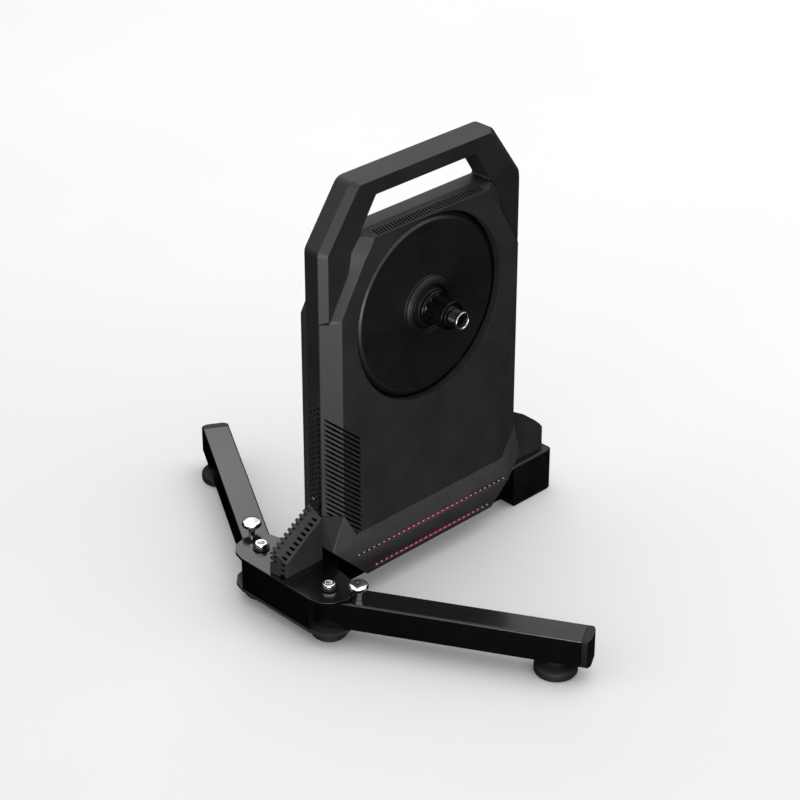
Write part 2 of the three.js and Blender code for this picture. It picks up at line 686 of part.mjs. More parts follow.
// Solid form of the flared skirt; grow enlarges it where it is cut from its neighbours. Its front end is
// drawn in below the cover.
function skirtBody(grow) {
  const back = SPINE_HALF + SKIRT_CLEAR - grow;
  const spot = (x, y, z) => new THREE.Vector3(x, y, z);
  const up = SKIRT_TOP + grow;
  const reach = (side, setIn) => side * (HALF - setIn) - Math.max(side, 0) * SKIRT_DRAW;
  const middle = [];
  const ends = [1, -1].map((side) => {
    const corners = [
      spot(X_COVER + grow, side * (HALF - SKIRT_TOP_INSET), up),
      spot(X_COVER + grow, side * (HALF - FRAME_CHAMFER - COVER_RISE), SKIRT_PEAK + grow),
      spot(SLAB_EDGE + FIT - grow, side * (HALF - SKIRT_TOP_INSET), up),
      spot(SLAB_EDGE + FIT - grow, side * (HALF + grow), SKIRT_PEAK + grow),
      spot(SLAB_EDGE + SKIRT_SIDE_RISE, side * (HALF + grow), SKIRT_TOP),
      spot(SLAB_EDGE + FIT - grow, side * (HALF + grow), SKIRT_TOP),
      spot(X_COVER + FIT, reach(side, -grow), SKIRT_SIDE),
      spot(SLAB_EDGE + FIT - grow, reach(side, -grow), SKIRT_SIDE),
      spot(back, reach(side, SKIRT_BREAK_INSET), SKIRT_BREAK),
      spot(X_SKIRT, reach(side, SKIRT_BREAK_INSET), SKIRT_BREAK),
      spot(X_SKIRT + grow, reach(side, SKIRT_CREST_INSET), SKIRT_CREST),
    ];
    return solid(new ConvexGeometry(corners));
  });
  for (const side of [1, -1]) {
    middle.push(
      spot(X_COVER + grow, side * (HALF - SKIRT_TOP_INSET), up),
      spot(X_SKIRT + grow, reach(side, SKIRT_CREST_INSET), SKIRT_CREST),
      spot(X_SKIRT, reach(side, SKIRT_BREAK_INSET), SKIRT_BREAK),
      spot(X_SKIRT - SKIRT_FLARE / 4, reach(side, SKIRT_BOTTOM_INSET), SKIRT_BOTTOM),
      spot(back, reach(side, SKIRT_BOTTOM_INSET), SKIRT_BOTTOM),
      spot(back, reach(side, SKIRT_BREAK_INSET), SKIRT_BREAK),
      spot(back, side * (HALF - SKIRT_TOP_INSET), up),
    );
  }
  return union([solid(new ConvexGeometry(middle)), ...ends]);
}

// Flared skirt with two shallow channels for the rows of lamps.
function ledSkirt() {
  const low = HALF - SKIRT_BOTTOM_INSET - SKIRT_DRAW;
  const pocket = block(0, X_SKIRT - SKIRT_POCKET, -low, low, SKIRT_BOTTOM + SKIRT_POCKET, SKIRT_CREST);
  const [above, below] = [upperLamps(FIT, SKIRT_FLARE), lowerLamps(FIT, SKIRT_FLARE)];
  return cut(skirtBody(0), [pocket, above, below]);
}

// Window strip of a row of lamps, with room grown round it and in front of it where it is a cut.
function lampStrip(height, half, grow, front) {
  const x1 = X_SKIRT - SKIRT_FLARE / 4 - FIT;
  const x0 = x1 - LAMP_DEPTH - grow;
  return block(x0, x1 + front, -half - grow, half + grow, height - grow, height + LAMP_HEIGHT + grow);
}

// Upper row, as long as the skirt's break allows.
function upperLamps(grow, front) {
  return lampStrip(LAMP_UPPER, HALF - SKIRT_BREAK_INSET - SKIRT_DRAW - LAMP_INSET, grow, front);
}

// Lower row, as long as the skirt's bottom edge allows.
function lowerLamps(grow, front) {
  return lampStrip(LAMP_LOWER, HALF - SKIRT_BOTTOM_INSET - SKIRT_DRAW - LAMP_INSET, grow, front);
}

// Outline of a grille seen along X, from the top of its sloping roof down to its foot. The end wall is longer
// where the foot stands below the top of the base, as at the front.
function grilleOutline(table, foot) {
  const seat = BASE_TOP + FIT;
  const corners = table.map(([out, up], i) => [-(HALF + FIT + out), i === 0 ? foot : seat + up]);
  return [...corners.reverse(), [-(HALF + FIT), foot]];
}

// Slots across a grille's roof, at equal steps along its outline, between two places along X.
function roofSlots(outline, x0, x1) {
  const slots = [];
  let ahead = GRILLE_START;
  for (let i = 0; i + 2 < outline.length; i += 1) {
    const here = new THREE.Vector2(...outline[i]);
    const along = new THREE.Vector2(...outline[i + 1]).sub(here);
    const length = along.length();
    along.normalize();
    const out = new THREE.Vector2(-along.y, along.x);
    const at = (run, rise) => here.clone().addScaledVector(along, run).addScaledVector(out, rise).toArray();
    for (; ahead < length && slots.length < GRILLE_SLOTS; ahead += GRILLE_PITCH) {
      const [run, end] = [ahead - GRILLE_SLOT / 2, ahead + GRILLE_SLOT / 2];
      const [deep, high] = [GRILLE_WALL + PAST, -GRILLE_WALL - GRILLE_WALL];
      slots.push(panel([at(run, deep), at(run, high), at(end, high), at(end, deep)], x0, x1));
    }
    ahead -= length;
  }
  return union(slots);
}

// Level grooves in a grille's flank, inside its rim.
function flankGrooves(outline, foot, x0, x1) {
  const far = -(HALF + FIT + GRILLE_HIGH[0][0]);
  const bars = [];
  for (let i = 0; i < GROOVE_COUNT; i += 1) {
    const z0 = foot + GROOVE_START + i * GROOVE_PITCH;
    bars.push(block(x0, x1, far, -HALF, z0, z0 + GROOVE_WIDTH));
  }
  return union(bars).intersect(panel(inset(outline, GRILLE_RIM), x0, x1));
}

// One grille: a hollow wedge whose roof leans, with two rows of slots in the roof and grooves in both flanks.
// The far row breaks through the roof's edge at the rear end, which is end -1.
function grille(end) {
  const foot = end < 0 ? BASE_TOP + FIT : SPINE_TOP + FIT;
  const tables = end < 0 ? [GRILLE_HIGH, GRILLE_LOW] : [FRONT_HIGH, FRONT_LOW];
  const [high, low] = tables.map((table) => grilleOutline(table, foot));
  const edge = end < 0 ? -PAST : GRILLE_RIM;
  const hollow = (x, outline) => {
    const room = inset(outline, GRILLE_WALL);
    return { x, outline: room.map(([y, z]) => [y, z < foot + GRILLE_START ? foot - PAST : z]) };
  };
  const body = loft([{ x: GRILLE_NEAR, outline: high }, { x: GRILLE_FAR, outline: low }]);
  const made = cut(body, [
    loft([hollow(GRILLE_NEAR + GRILLE_WALL, high), hollow(GRILLE_FAR - GRILLE_WALL, low)]),
    roofSlots(high, GRILLE_NEAR + edge, GRILLE_NEAR + GRILLE_RIM + GRILLE_SLOT_LENGTH),
    roofSlots(low, GRILLE_FAR - GRILLE_RIM - GRILLE_SLOT_LENGTH, GRILLE_FAR - GRILLE_RIM),
    flankGrooves(high, foot, GRILLE_NEAR - PAST, GRILLE_NEAR + GROOVE_DEPTH),
    flankGrooves(low, foot, GRILLE_FAR - GROOVE_DEPTH, GRILLE_FAR + PAST),
  ]);
  if (end < 0) return made;
  const middle = (GRILLE_NEAR + GRILLE_FAR) / 2;
  return made.translate([-middle, 0, 0]).rotate([0, 0, 180]).translate([middle, 0, 0]);
}

// Plan of the channel's upper or lower plate, right half, rear to front.
function channelPlan(tongue) {
  const half = [[PIVOT_SPREAD, -PIVOT_BACK - EAR_RADIUS]];
  for (let s = 1; s <= SMALL / 2; s += 1) {
    const angle = -Math.PI / 2 + (Math.PI * s) / (SMALL / 2);
    half.push([PIVOT_SPREAD + EAR_RADIUS * Math.cos(angle), -PIVOT_BACK + EAR_RADIUS * Math.sin(angle)]);
  }
  half.push([NECK_HALF, -PIVOT_BACK + EAR_RADIUS + PLATE], [NECK_HALF, -NECK_FRONT]);
  half.push([SPINE_HALF, -NECK_FRONT + NECK_HALF - SPINE_HALF]);
  if (tongue) half.push([SPINE_HALF, TONGUE_FRONT]);
  return mirrored(half);
}

// Bent steel channel: a web across the rear and two plates with ears round the leg pivots.
function rearChannel() {
  const upper = plate(channelPlan(true), BASE_TOP - PLATE, BASE_TOP);
  const lower = plate(channelPlan(false), BASE_BOTTOM, BASE_BOTTOM + PLATE);
  const back = -PIVOT_BACK - EAR_RADIUS;
  const web = block(-PIVOT_SPREAD, PIVOT_SPREAD, back, back + PLATE, BASE_BOTTOM, BASE_TOP);
  const hole = (place) => roundZ(BOLT_RADIUS + FIT, 0, BASE_TOP + PAST, SMALL, place, -PIVOT_BACK);
  return cut(union([upper, lower, web]), [hole(PIVOT_SPREAD), hole(-PIVOT_SPREAD)]);
}

// A rectangle in X and Z with cut corners, run along Y.
function beam(half, z0, z1, edge, y0, y1) {
  const outline = [
    [-half + edge, z0], [half - edge, z0], [half, z0 + edge], [half, z1 - edge],
    [half - edge, z1], [-half + edge, z1], [-half, z1 - edge], [-half, z0 + edge],
  ];
  const shape = new THREE.Shape(outline.map(([x, z]) => new THREE.Vector2(x, z)));
  const body = new THREE.ExtrudeGeometry(shape, { depth: y1 - y0, bevelEnabled: false, steps: 1 });
  return solid(body.rotateX(Math.PI / 2).translate(0, y1, 0));
}

// Tube that joins the rear channel to the front foot, open at both ends.
function baseSpine() {
  const tube = beam(SPINE_HALF, SPINE_BOTTOM, SPINE_TOP, SPINE_EDGE, -SPINE_REAR, SPINE_FRONT);
  const inside = beam(
    SPINE_HALF - SPINE_WALL,
    SPINE_BOTTOM + SPINE_WALL,
    SPINE_TOP - SPINE_WALL,
    SPINE_EDGE / 2,
    -SPINE_REAR - PAST,
    SPINE_FRONT + PAST,
  );
  return tube.subtract(inside);
}

// Plan of the front foot, with its two front corners rounded.
function footPlan(y0, y1) {
  const plan = [[-SPINE_HALF, y0 - PAST], [SPINE_HALF, y0 - PAST]];
  for (const [centre, from] of [[SPINE_HALF - FOOT_ROUND, 0], [-SPINE_HALF + FOOT_ROUND, Math.PI / 2]]) {
    for (let s = 0; s <= CORNER; s += 1) {
      const angle = from + (Math.PI / 2) * (s / CORNER);
      plan.push([centre + FOOT_ROUND * Math.cos(angle), y1 - FOOT_ROUND + FOOT_ROUND * Math.sin(angle)]);
    }
  }
  return plan;
}

// Moulded foot that closes the spine's front end and stands on the floor, with a tenon inside the spine.
function frontFoot() {
  const y0 = SPINE_FRONT + FIT;
  const y1 = y0 + FOOT_LENGTH;
  const side = [
    [y0, 0],
    [y1 - FOOT_EDGE, 0],
    [y1, FOOT_EDGE],
    [y1, SPINE_TOP - FOOT_CREST],
    [y1 - FOOT_CREST / 4, SPINE_TOP - FOOT_CREST / 4],
    [y1 - FOOT_CREST, SPINE_TOP],
    [y0, SPINE_TOP],
  ];
  const blank = panel(side, -SPINE_HALF, SPINE_HALF);
  const section = beam(SPINE_HALF, -SPINE_EDGE, SPINE_TOP, SPINE_EDGE, y0 - PAST, y1 + PAST);
  const outer = blank.intersect(plate(footPlan(y0, y1), -PAST, SPINE_TOP + PAST)).intersect(section);
  const seat = SPINE_WALL + FIT;
  const [low, high] = [SPINE_BOTTOM + seat, SPINE_TOP - seat];
  const tenon = beam(SPINE_HALF - seat, low, high, SPINE_EDGE, y0 - TENON_LENGTH, y0 + PAST);
  const inner = SPINE_HALF - PLATE;
  const room = block(-inner, inner, y0 + PLATE, y1 - FOOT_ROUND, -PAST, SPINE_BOTTOM);
  return outer.add(tenon).subtract(room);
}

// Rubber pad under a leg pivot, hollow where the pivot bolt ends.
function rearPad(side) {
  const top = BASE_BOTTOM - FIT;
  const profile = [
    [BOLT_WASHER, 0],
    [PAD_RADIUS - PAD_EDGE, 0],
    [PAD_RADIUS, PAD_EDGE],
    [PAD_RADIUS, top],
    [BOLT_WASHER, top],
  ];
  return turnedZ(profile, ROUND, side * PIVOT_SPREAD, -PIVOT_BACK);
}

// Moves a leg piece from its own frame, with the pivot at the origin and the leg along X, to its place.
function placeLeg(body, side) {
  const angle = side > 0 ? LEG_ANGLE : 180 - LEG_ANGLE;
  return body.rotate([0, 0, angle]).translate([side * PIVOT_SPREAD, -PIVOT_BACK, 0]);
}

// Plan of a leg with its half round inner end.
function legPlan(half, length) {
  const plan = [];
  for (let s = 0; s <= SMALL / 2; s += 1) {
    const angle = Math.PI / 2 + (Math.PI * s) / (SMALL / 2);
    plan.push([half * Math.cos(angle), half * Math.sin(angle)]);
  }
  plan.push([length, -half], [length, half]);
  return plan;
}

// Folding leg: a rectangular tube, drilled for the pivot, the lock pin and the levelling foot.
function leg(side) {
  const half = LEG_WIDTH / 2;
  const blank = plate(legPlan(half, LEG_LENGTH), LEG_BOTTOM, LEG_TOP);
  const bar = beam(half, LEG_BOTTOM, LEG_TOP, LEG_EDGE, -LEG_WIDTH, LEG_LENGTH + PAST);
  const section = bar.rotate([0, 0, -90]);
  const room = plate(legPlan(half - LEG_WALL, LEG_LENGTH + PAST), LEG_BOTTOM + LEG_WALL, LEG_TOP - LEG_WALL);
  const body = cut(blank.intersect(section), [
    room,
    roundZ(BOLT_RADIUS + FIT, LEG_BOTTOM - PAST, LEG_TOP + PAST, SMALL, 0, 0),
    roundZ(KNOB_STEM + FIT, LEG_TOP - LEG_WALL - PAST, LEG_TOP + PAST, SMALL, KNOB_REACH, -side * KNOB_SIDE),
    roundZ(STUD_RADIUS + FIT, LEG_BOTTOM - PAST, LEG_BOTTOM + LEG_WALL + PAST, SMALL, FOOT_REACH, 0),
  ]);
  return placeLeg(body, side);
}

// Moulded end cap with bevelled edges and a plug inside the tube.
function legCap(side) {
  const half = LEG_WIDTH / 2;
  const x0 = LEG_LENGTH + FIT;
  const x1 = x0 + CAP_LENGTH;
  const blank = beam(half, LEG_BOTTOM, LEG_TOP, LEG_EDGE, x0, x1).rotate([0, 0, -90]);
  const plan = [
    [x0 - PAST, -half],
    [x1 - CAP_BEVEL / 2, -half],
    [x1, -half + CAP_BEVEL],
    [x1, half - CAP_BEVEL],
    [x1 - CAP_BEVEL / 2, half],
    [x0 - PAST, half],
  ];
  const shaped = blank.intersect(plate(plan, LEG_BOTTOM - PAST, LEG_TOP + PAST));
  const seat = LEG_WALL + FIT;
  const inner = half - seat;
  const plug = block(x0 - CAP_PLUG, x0 + PAST, -inner, inner, LEG_BOTTOM + seat, LEG_TOP - seat);
  return placeLeg(shaped.add(plug), side);
}

// Levelling foot: a pad on a stud that screws up into the leg.
function levelFoot(side) {
  const profile = [
    [0, 0],
    [FOOT_RADIUS - PAD_EDGE, 0],
    [FOOT_RADIUS, PAD_EDGE],
    [FOOT_RADIUS, FOOT_PAD - PAD_EDGE],
    [STUD_COLLAR + PAD_EDGE, FOOT_PAD],
    [STUD_RADIUS, FOOT_PAD],
    [STUD_RADIUS, LEG_BOTTOM - FIT - PAD_EDGE],
    [STUD_COLLAR, LEG_BOTTOM - FIT - PAD_EDGE],
    [STUD_COLLAR, LEG_BOTTOM - FIT],
    [STUD_RADIUS, LEG_BOTTOM - FIT],
    [STUD_RADIUS, STUD_TOP],
    [0, STUD_TOP],
  ];
  return placeLeg(turnedZ(profile, ROUND, FOOT_REACH, 0), side);
}

// Spring pin of a leg with its mushroom head.
function lockKnob(side) {
  const base = LEG_TOP + KNOB_RISE;
  const under = LEG_TOP - LEG_WALL - KNOB_TRAVEL - FIT;
  const profile = [
    [0, LEG_TOP - KNOB_TAIL],
    [KNOB_STEM, LEG_TOP - KNOB_TAIL],
    [KNOB_COLLAR, under - KNOB_STEM],
    [KNOB_COLLAR, under],
    [KNOB_STEM, under],
    [KNOB_STEM, base - KNOB_STEM],
    [KNOB_NECK, base],
    ...KNOB_SHARES.map(([out, up]) => [KNOB_RADIUS * out, base + KNOB_HEAD * up]),
  ];
  return placeLeg(turnedZ(profile, SMALL, KNOB_REACH, -side * KNOB_SIDE), side);
}

// Pivot bolt with its washer, through both plates and the leg.
function pivotBolt(side) {
  const seat = BASE_TOP + FIT;
  const head = seat + WASHER_THICK;
  const profile = [
    [0, BASE_BOTTOM + FIT],
    [BOLT_RADIUS, BASE_BOTTOM + FIT],
    [BOLT_RADIUS, seat],
    [BOLT_WASHER, seat],
    [BOLT_WASHER, head],
    [BOLT_HEAD, head],
    ...HEAD_SHARES.map(([out, up]) => [BOLT_HEAD * out, head + HEAD_HEIGHT * up]),
  ];
  return turnedZ(profile, SMALL, side * PIVOT_SPREAD, -PIVOT_BACK);
}

// Hollow axle, clamped in the frame's boss.
function axleTube() {
  const right = AXLE_REACH - ADAPTER_LENGTH + ADAPTER_LENGTH / 4;
  return ringX(AXLE_BORE, AXLE_RADIUS, X_BOSS, right, ROUND, 0, AXLE_HEIGHT);
}

// End adapter of the axle on the sprocket side, pushed over the tube. The bicycle's dropout rests on its end.
function driveAdapter() {
  const inner = AXLE_REACH - ADAPTER_LENGTH;
  const socket = inner + ADAPTER_LENGTH / 4 + FIT;
  const profile = [
    [AXLE_RADIUS + FIT, inner],
    [ADAPTER_RADIUS, inner],
    [ADAPTER_RADIUS, AXLE_REACH - DROPOUT_LIP],
    [DROPOUT_RADIUS, AXLE_REACH - DROPOUT_LIP],
    [DROPOUT_RADIUS, AXLE_REACH],
    [AXLE_BORE, AXLE_REACH],
    [AXLE_BORE, socket],
    [AXLE_RADIUS + FIT, socket],
  ];
  return turnedX(profile, ROUND, 0, AXLE_HEIGHT);
}

// End adapter of the far side, a tapered spacer against the frame's boss.
function leftAdapter() {
  const end = AXLE_REACH - DROPOUT_SPACING;
  const profile = [
    [AXLE_BORE, end],
    [DROPOUT_RADIUS, end],
    [DROPOUT_RADIUS, end + DROPOUT_LIP],
    [ADAPTER_RADIUS, end + DROPOUT_LIP],
    [BOSS_END_RADIUS - WALL, end + ADAPTER_LENGTH],
    [AXLE_BORE, end + ADAPTER_LENGTH],
  ];
  return turnedX(profile, ROUND, 0, AXLE_HEIGHT);
}

// Rotor of the sprocket side: hub, flat disc whose rim falls away, and the belt's rim behind it.
function drivePulley() {
  const bore = BEARING_OUTER + FIT;
  const behind = X_DISC - DISC_PLATE;
  const profile = [
    [bore, ROTOR_BACK],
    [HUB_RADIUS, ROTOR_BACK],
    [HUB_RADIUS, behind],
    [BELT_RADIUS - RIM_THICK, behind],
    [BELT_RADIUS - RIM_THICK, ROTOR_BACK],
    [BELT_RADIUS + FLANGE_RISE, ROTOR_BACK],
    [BELT_RADIUS + FLANGE_RISE, ROTOR_BACK + FLANGE_THICK],
    [BELT_RADIUS, ROTOR_BACK + FLANGE_THICK],
    [BELT_RADIUS, X_RIM],
    [BELT_RADIUS + FLANGE_RISE, X_RIM],
    [DISC_RADIUS, X_RIM + FLANGE_THICK * 2],
    ...RIM_SLOPES.map(([inward, fall]) => [DISC_RADIUS - inward, X_DISC - fall]).reverse(),
    [HUB_STEP, X_DISC],
    [HUB_STEP - PAST, X_DISC + HUB_STEP_RISE],
    [HUB_RADIUS, X_DISC + HUB_STEP_RISE],
    [HUB_RADIUS - PAST, HUB_REACH],
    [bore, HUB_REACH],
  ];
  return turnedX(profile, FINE, 0, AXLE_HEIGHT);
}

// Freewheel body: a sleeve with straight splines that carries the cassette.
function freehub() {
  const outline = [];
  const step = (2 * Math.PI) / FREEHUB_SPLINES;
  for (let i = 0; i < FREEHUB_SPLINES; i += 1) {
    for (const [turnShare, depthShare] of SPLINE_SHARES) {
      const angle = (i + turnShare) * step;
      const radius = FREEHUB_RADIUS - SPLINE_DEPTH * depthShare;
      outline.push([radius * Math.cos(angle), AXLE_HEIGHT + radius * Math.sin(angle)]);
    }
  }
  const x0 = HUB_REACH + FIT;
  const body = panel(outline, x0, FREEHUB_END);
  const collar = roundX(FREEHUB_RADIUS + SPLINE_DEPTH, x0, x0 + FREEHUB_COLLAR, ROUND, 0, AXLE_HEIGHT);
  const bore = roundX(FREEHUB_BEARING + FIT, HUB_REACH, FREEHUB_END + PAST, ROUND, 0, AXLE_HEIGHT);
  return body.add(collar).subtract(bore);
}

// A sealed ball bearing of the rotor, one of the freewheel body and one of the flywheel shaft, from one place
// along X.
function hubBearing(x0) {
  return ringX(AXLE_RADIUS + FIT, BEARING_OUTER, x0, x0 + BEARING_WIDTH, ROUND, 0, AXLE_HEIGHT);
}

function freehubBearing(x0) {
  return ringX(AXLE_RADIUS + FIT, FREEHUB_BEARING, x0, x0 + FREEHUB_BEARING_WIDTH, ROUND, 0, AXLE_HEIGHT);
}

function shaftBearing(x0) {
  return ringX(SHAFT_RADIUS + FIT, SHAFT_BEARING, x0, x0 + SHAFT_BEARING_WIDTH, SMALL, 0, SHAFT_HEIGHT);
}

// Heavy steel flywheel with a thick rim.
function flywheel() {
  const web0 = FLYWHEEL_BACK + (FLYWHEEL_THICK - FLYWHEEL_WEB) / 2;
  const profile = [
    [SHAFT_RADIUS + FIT, FLYWHEEL_BACK],
    [FLYWHEEL_HUB, FLYWHEEL_BACK],
    [FLYWHEEL_HUB, web0],
    [FLYWHEEL_RADIUS - FLYWHEEL_RIM, web0],
    [FLYWHEEL_RADIUS - FLYWHEEL_RIM, FLYWHEEL_BACK],
    [FLYWHEEL_RADIUS, FLYWHEEL_BACK],
    [FLYWHEEL_RADIUS, FLYWHEEL_FRONT],
    [FLYWHEEL_RADIUS - FLYWHEEL_RIM, FLYWHEEL_FRONT],
    [FLYWHEEL_RADIUS - FLYWHEEL_RIM, web0 + FLYWHEEL_WEB],
    [FLYWHEEL_HUB, web0 + FLYWHEEL_WEB],
    [FLYWHEEL_HUB, FLYWHEEL_FRONT],
    [SHAFT_RADIUS + FIT, FLYWHEEL_FRONT],
  ];
  return turnedX(profile, FINE, 0, SHAFT_HEIGHT);
}

// Flywheel shaft, from the bearing in the far shell to the belt pulley.
function shaft() {
  return roundX(SHAFT_RADIUS, X_SHELL_CAP + WALL + FIT, X_RIM + FLANGE_THICK, SMALL, 0, SHAFT_HEIGHT);
}

// Small belt pulley with two flanges.
function smallPulley() {
  const profile = [
    [SHAFT_RADIUS + FIT, ROTOR_BACK],
    [SMALL_PULLEY + FLANGE_RISE, ROTOR_BACK],
    [SMALL_PULLEY + FLANGE_RISE, ROTOR_BACK + FLANGE_THICK],
    [SMALL_PULLEY, ROTOR_BACK + FLANGE_THICK],
    [SMALL_PULLEY, X_RIM],
    [SMALL_PULLEY + FLANGE_RISE, X_RIM],
    [SMALL_PULLEY + FLANGE_RISE, X_RIM + FLANGE_THICK],
    [SHAFT_RADIUS + FIT, X_RIM + FLANGE_THICK],
  ];
  return turnedX(profile, ROUND, 0, SHAFT_HEIGHT);
}

// Outline of the belt at one distance outside the pulleys' faces.
function beltOutline(out) {
  const outline = [];
  const big = BELT_RADIUS + FIT + out;
  const little = SMALL_PULLEY + FIT + out;
  for (let s = 0; s <= FINE; s += 1) {
    const angle = -BELT_LEAN + ((Math.PI + 2 * BELT_LEAN) * s) / FINE;
    outline.push([big * Math.cos(angle), AXLE_HEIGHT + big * Math.sin(angle)]);
  }
  for (let s = 0; s <= SMALL / 2; s += 1) {
    const angle = Math.PI + BELT_LEAN + ((Math.PI - 2 * BELT_LEAN) * s) / (SMALL / 2);
    outline.push([little * Math.cos(angle), SHAFT_HEIGHT + little * Math.sin(angle)]);
  }
  return outline;
}

// Ribbed drive belt round both pulleys.
function driveBelt() {
  const outside = panel(beltOutline(BELT_THICK), BELT_BACK, BELT_FRONT);
  return outside.subtract(panel(beltOutline(0), BELT_BACK - PAST, BELT_FRONT + PAST));
}

// Place of the roller that bears on the outside of the belt's forward run.
function idlerPlace() {
  const normal = new THREE.Vector2(Math.cos(BELT_LEAN), -Math.sin(BELT_LEAN));
  const leaves = new THREE.Vector2(0, AXLE_HEIGHT).addScaledVector(normal, BELT_RADIUS);
  const meets = new THREE.Vector2(0, SHAFT_HEIGHT).addScaledVector(normal, SMALL_PULLEY);
  const away = FIT + BELT_THICK + FIT + IDLER_RADIUS;
  return leaves.lerp(meets, IDLER_PLACE_SHARE).addScaledVector(normal, away).toArray();
}

// Roller and pin of the belt's tensioner.
function idlerRoller() {
  return ringX(IDLER_PIN + FIT, IDLER_RADIUS, BELT_BACK, BELT_FRONT, ROUND, ...idlerPlace());
}

function idlerPin() {
  return roundX(IDLER_PIN, WEB_FRONT + FIT, X_RIM + FLANGE_THICK, SMALL, ...idlerPlace());
}

// Block of laminated iron that faces the flywheel's rim.
function magnetCore(side) {
  const z = SHAFT_HEIGHT + (side * CORE_SPACING) / 2;
  const x = (FLYWHEEL_BACK + FLYWHEEL_FRONT) / 2;
  const y0 = FLYWHEEL_RADIUS + AIR_GAP;
  const [halfX, halfZ] = [CORE_THICK / 2, CORE_WIDTH / 2];
  return block(x - halfX, x + halfX, y0, y0 + CORE_LENGTH, z - halfZ, z + halfZ);
}

// Copper winding round a core.
function magnetCoil(side) {
  const z = SHAFT_HEIGHT + (side * CORE_SPACING) / 2;
  const x = (FLYWHEEL_BACK + FLYWHEEL_FRONT) / 2;
  const y0 = FLYWHEEL_RADIUS + AIR_GAP + COIL_END;
  const ring = (grow) => ({ dx: CORE_THICK / 2 + FIT + grow, dz: CORE_WIDTH / 2 + FIT + grow });
  const [a, b] = [ring(COIL_WALL), ring(0)];
  const outer = block(x - a.dx, x + a.dx, y0, y0 + COIL_LENGTH, z - a.dz, z + a.dz);
  return outer.subtract(block(x - b.dx, x + b.dx, y0 - PAST, y0 + COIL_LENGTH + PAST, z - b.dz, z + b.dz));
}

// Angle bracket that holds both cores to the web.
function magnetBracket() {
  const halfZ = CORE_SPACING / 2 + CORE_WIDTH / 2 + BRACKET_MARGIN;
  const [low, high] = [SHAFT_HEIGHT - halfZ, SHAFT_HEIGHT + halfZ];
  return block(FLYWHEEL_BACK, X_WEB_BACK - FIT, BRACKET_FOOT, BRACKET_FOOT + BRACKET_THICK, low, high);
}

// Control board on four posts, behind the rear vents.
function controlBoard() {
  const y0 = -POCKET_REACH + BOARD_INSET;
  const y1 = y0 + BOARD_WIDTH;
  const x1 = X_WEB_BACK - FIT - BOARD_RAISE;
  const z0 = SLAB_FOOT + POCKET_FLOOR + BOARD_RISE;
  const z1 = z0 + BOARD_HEIGHT;
  const sheet = block(x1 - BOARD_THICK, x1, y0, y1, z0, z1);
  const posts = [];
  for (const y of [y0 + BOARD_MARGIN, y1 - BOARD_MARGIN]) {
    for (const z of [z0 + BOARD_MARGIN, z1 - BOARD_MARGIN]) {
      posts.push(roundX(BOARD_POST, x1 - BOARD_THICK / 2, X_WEB_BACK - FIT, SMALL / 2, y, z));
    }
  }
  return union([sheet, ...posts]);
}

// Round power socket in the far shell.
function powerSocket() {
  const back = X_SHELL - FIT - SOCKET_LIP;
  const profile = [
    [0, X_SHELL + WALL],
    [SOCKET_BORE, X_SHELL + WALL],
    [SOCKET_BORE, back],
    [SOCKET_FLANGE, back],
    [SOCKET_FLANGE, back + SOCKET_LIP],
    [SOCKET_RADIUS, back + SOCKET_LIP],
    [SOCKET_RADIUS, back + SOCKET_DEPTH],
    [0, back + SOCKET_DEPTH],
  ];
  return turnedX(profile, SMALL, SOCKET_PLACE, SOCKET_HEIGHT);
}

// Brings a piece of the slab, made about the slab's own middle, to the part's frame.
function onSlab(body) {
  return body.translate([0, SLAB_SHIFT, 0]);
}

const part = new THREE.Group();
part.name = "direct_drive_trainer";

const sides = [["drive", 1], ["left", -1]];
part.add(piece("base_spine", baseSpine(), baseBlack));
part.add(piece("rear_channel", rearChannel(), baseBlack));
part.add(piece("front_foot", frontFoot(), softBlack));
for (const [word, side] of sides) {
  part.add(piece(`rear_pad_${word}`, rearPad(side), softBlack));
  part.add(piece(`leg_${word}`, leg(side), baseBlack));
  part.add(piece(`leg_cap_${word}`, legCap(side), softBlack));
  part.add(piece(`level_foot_${word}`, levelFoot(side), softBlack));
  part.add(piece(`lock_knob_${word}`, lockKnob(side), chrome));
  part.add(piece(`pivot_bolt_${word}`, pivotBolt(side), chrome));
}
part.add(piece("arch_frame", onSlab(archFrame()), bodyBlack));
part.add(piece("drive_cover", onSlab(driveCover()), coverBlack));
part.add(piece("left_cover", onSlab(leftCover()), coverBlack));
part.add(piece("led_skirt", onSlab(ledSkirt()), coverBlack));
part.add(piece("lamp_row_upper", onSlab(upperLamps(0, 0)), lampRed));
part.add(piece("lamp_row_lower", onSlab(lowerLamps(0, 0)), lampRed));
part.add(piece("grille_rear", onSlab(grille(-1)), coverBlack));
part.add(piece("grille_front", onSlab(grille(1)), coverBlack));

part.add(piece("axle_tube", axleTube(), steel));
part.add(piece("axle_adapter_drive", driveAdapter(), alloy));
part.add(piece("axle_adapter_left", leftAdapter(), alloy));
part.add(piece("drive_pulley", drivePulley(), discBlack));
part.add(piece("hub_bearing_back", hubBearing(ROTOR_BACK + FIT), steel));
part.add(piece("hub_bearing_front", hubBearing(HUB_REACH - BEARING_WIDTH - FIT), steel));
part.add(piece("freehub_body", freehub(), discBlack));
part.add(piece("freehub_bearing_back", freehubBearing(HUB_REACH + BEARING_WIDTH), steel));
part.add(piece("freehub_bearing_front", freehubBearing(FREEHUB_END - FREEHUB_BEARING_WIDTH - FIT), steel));

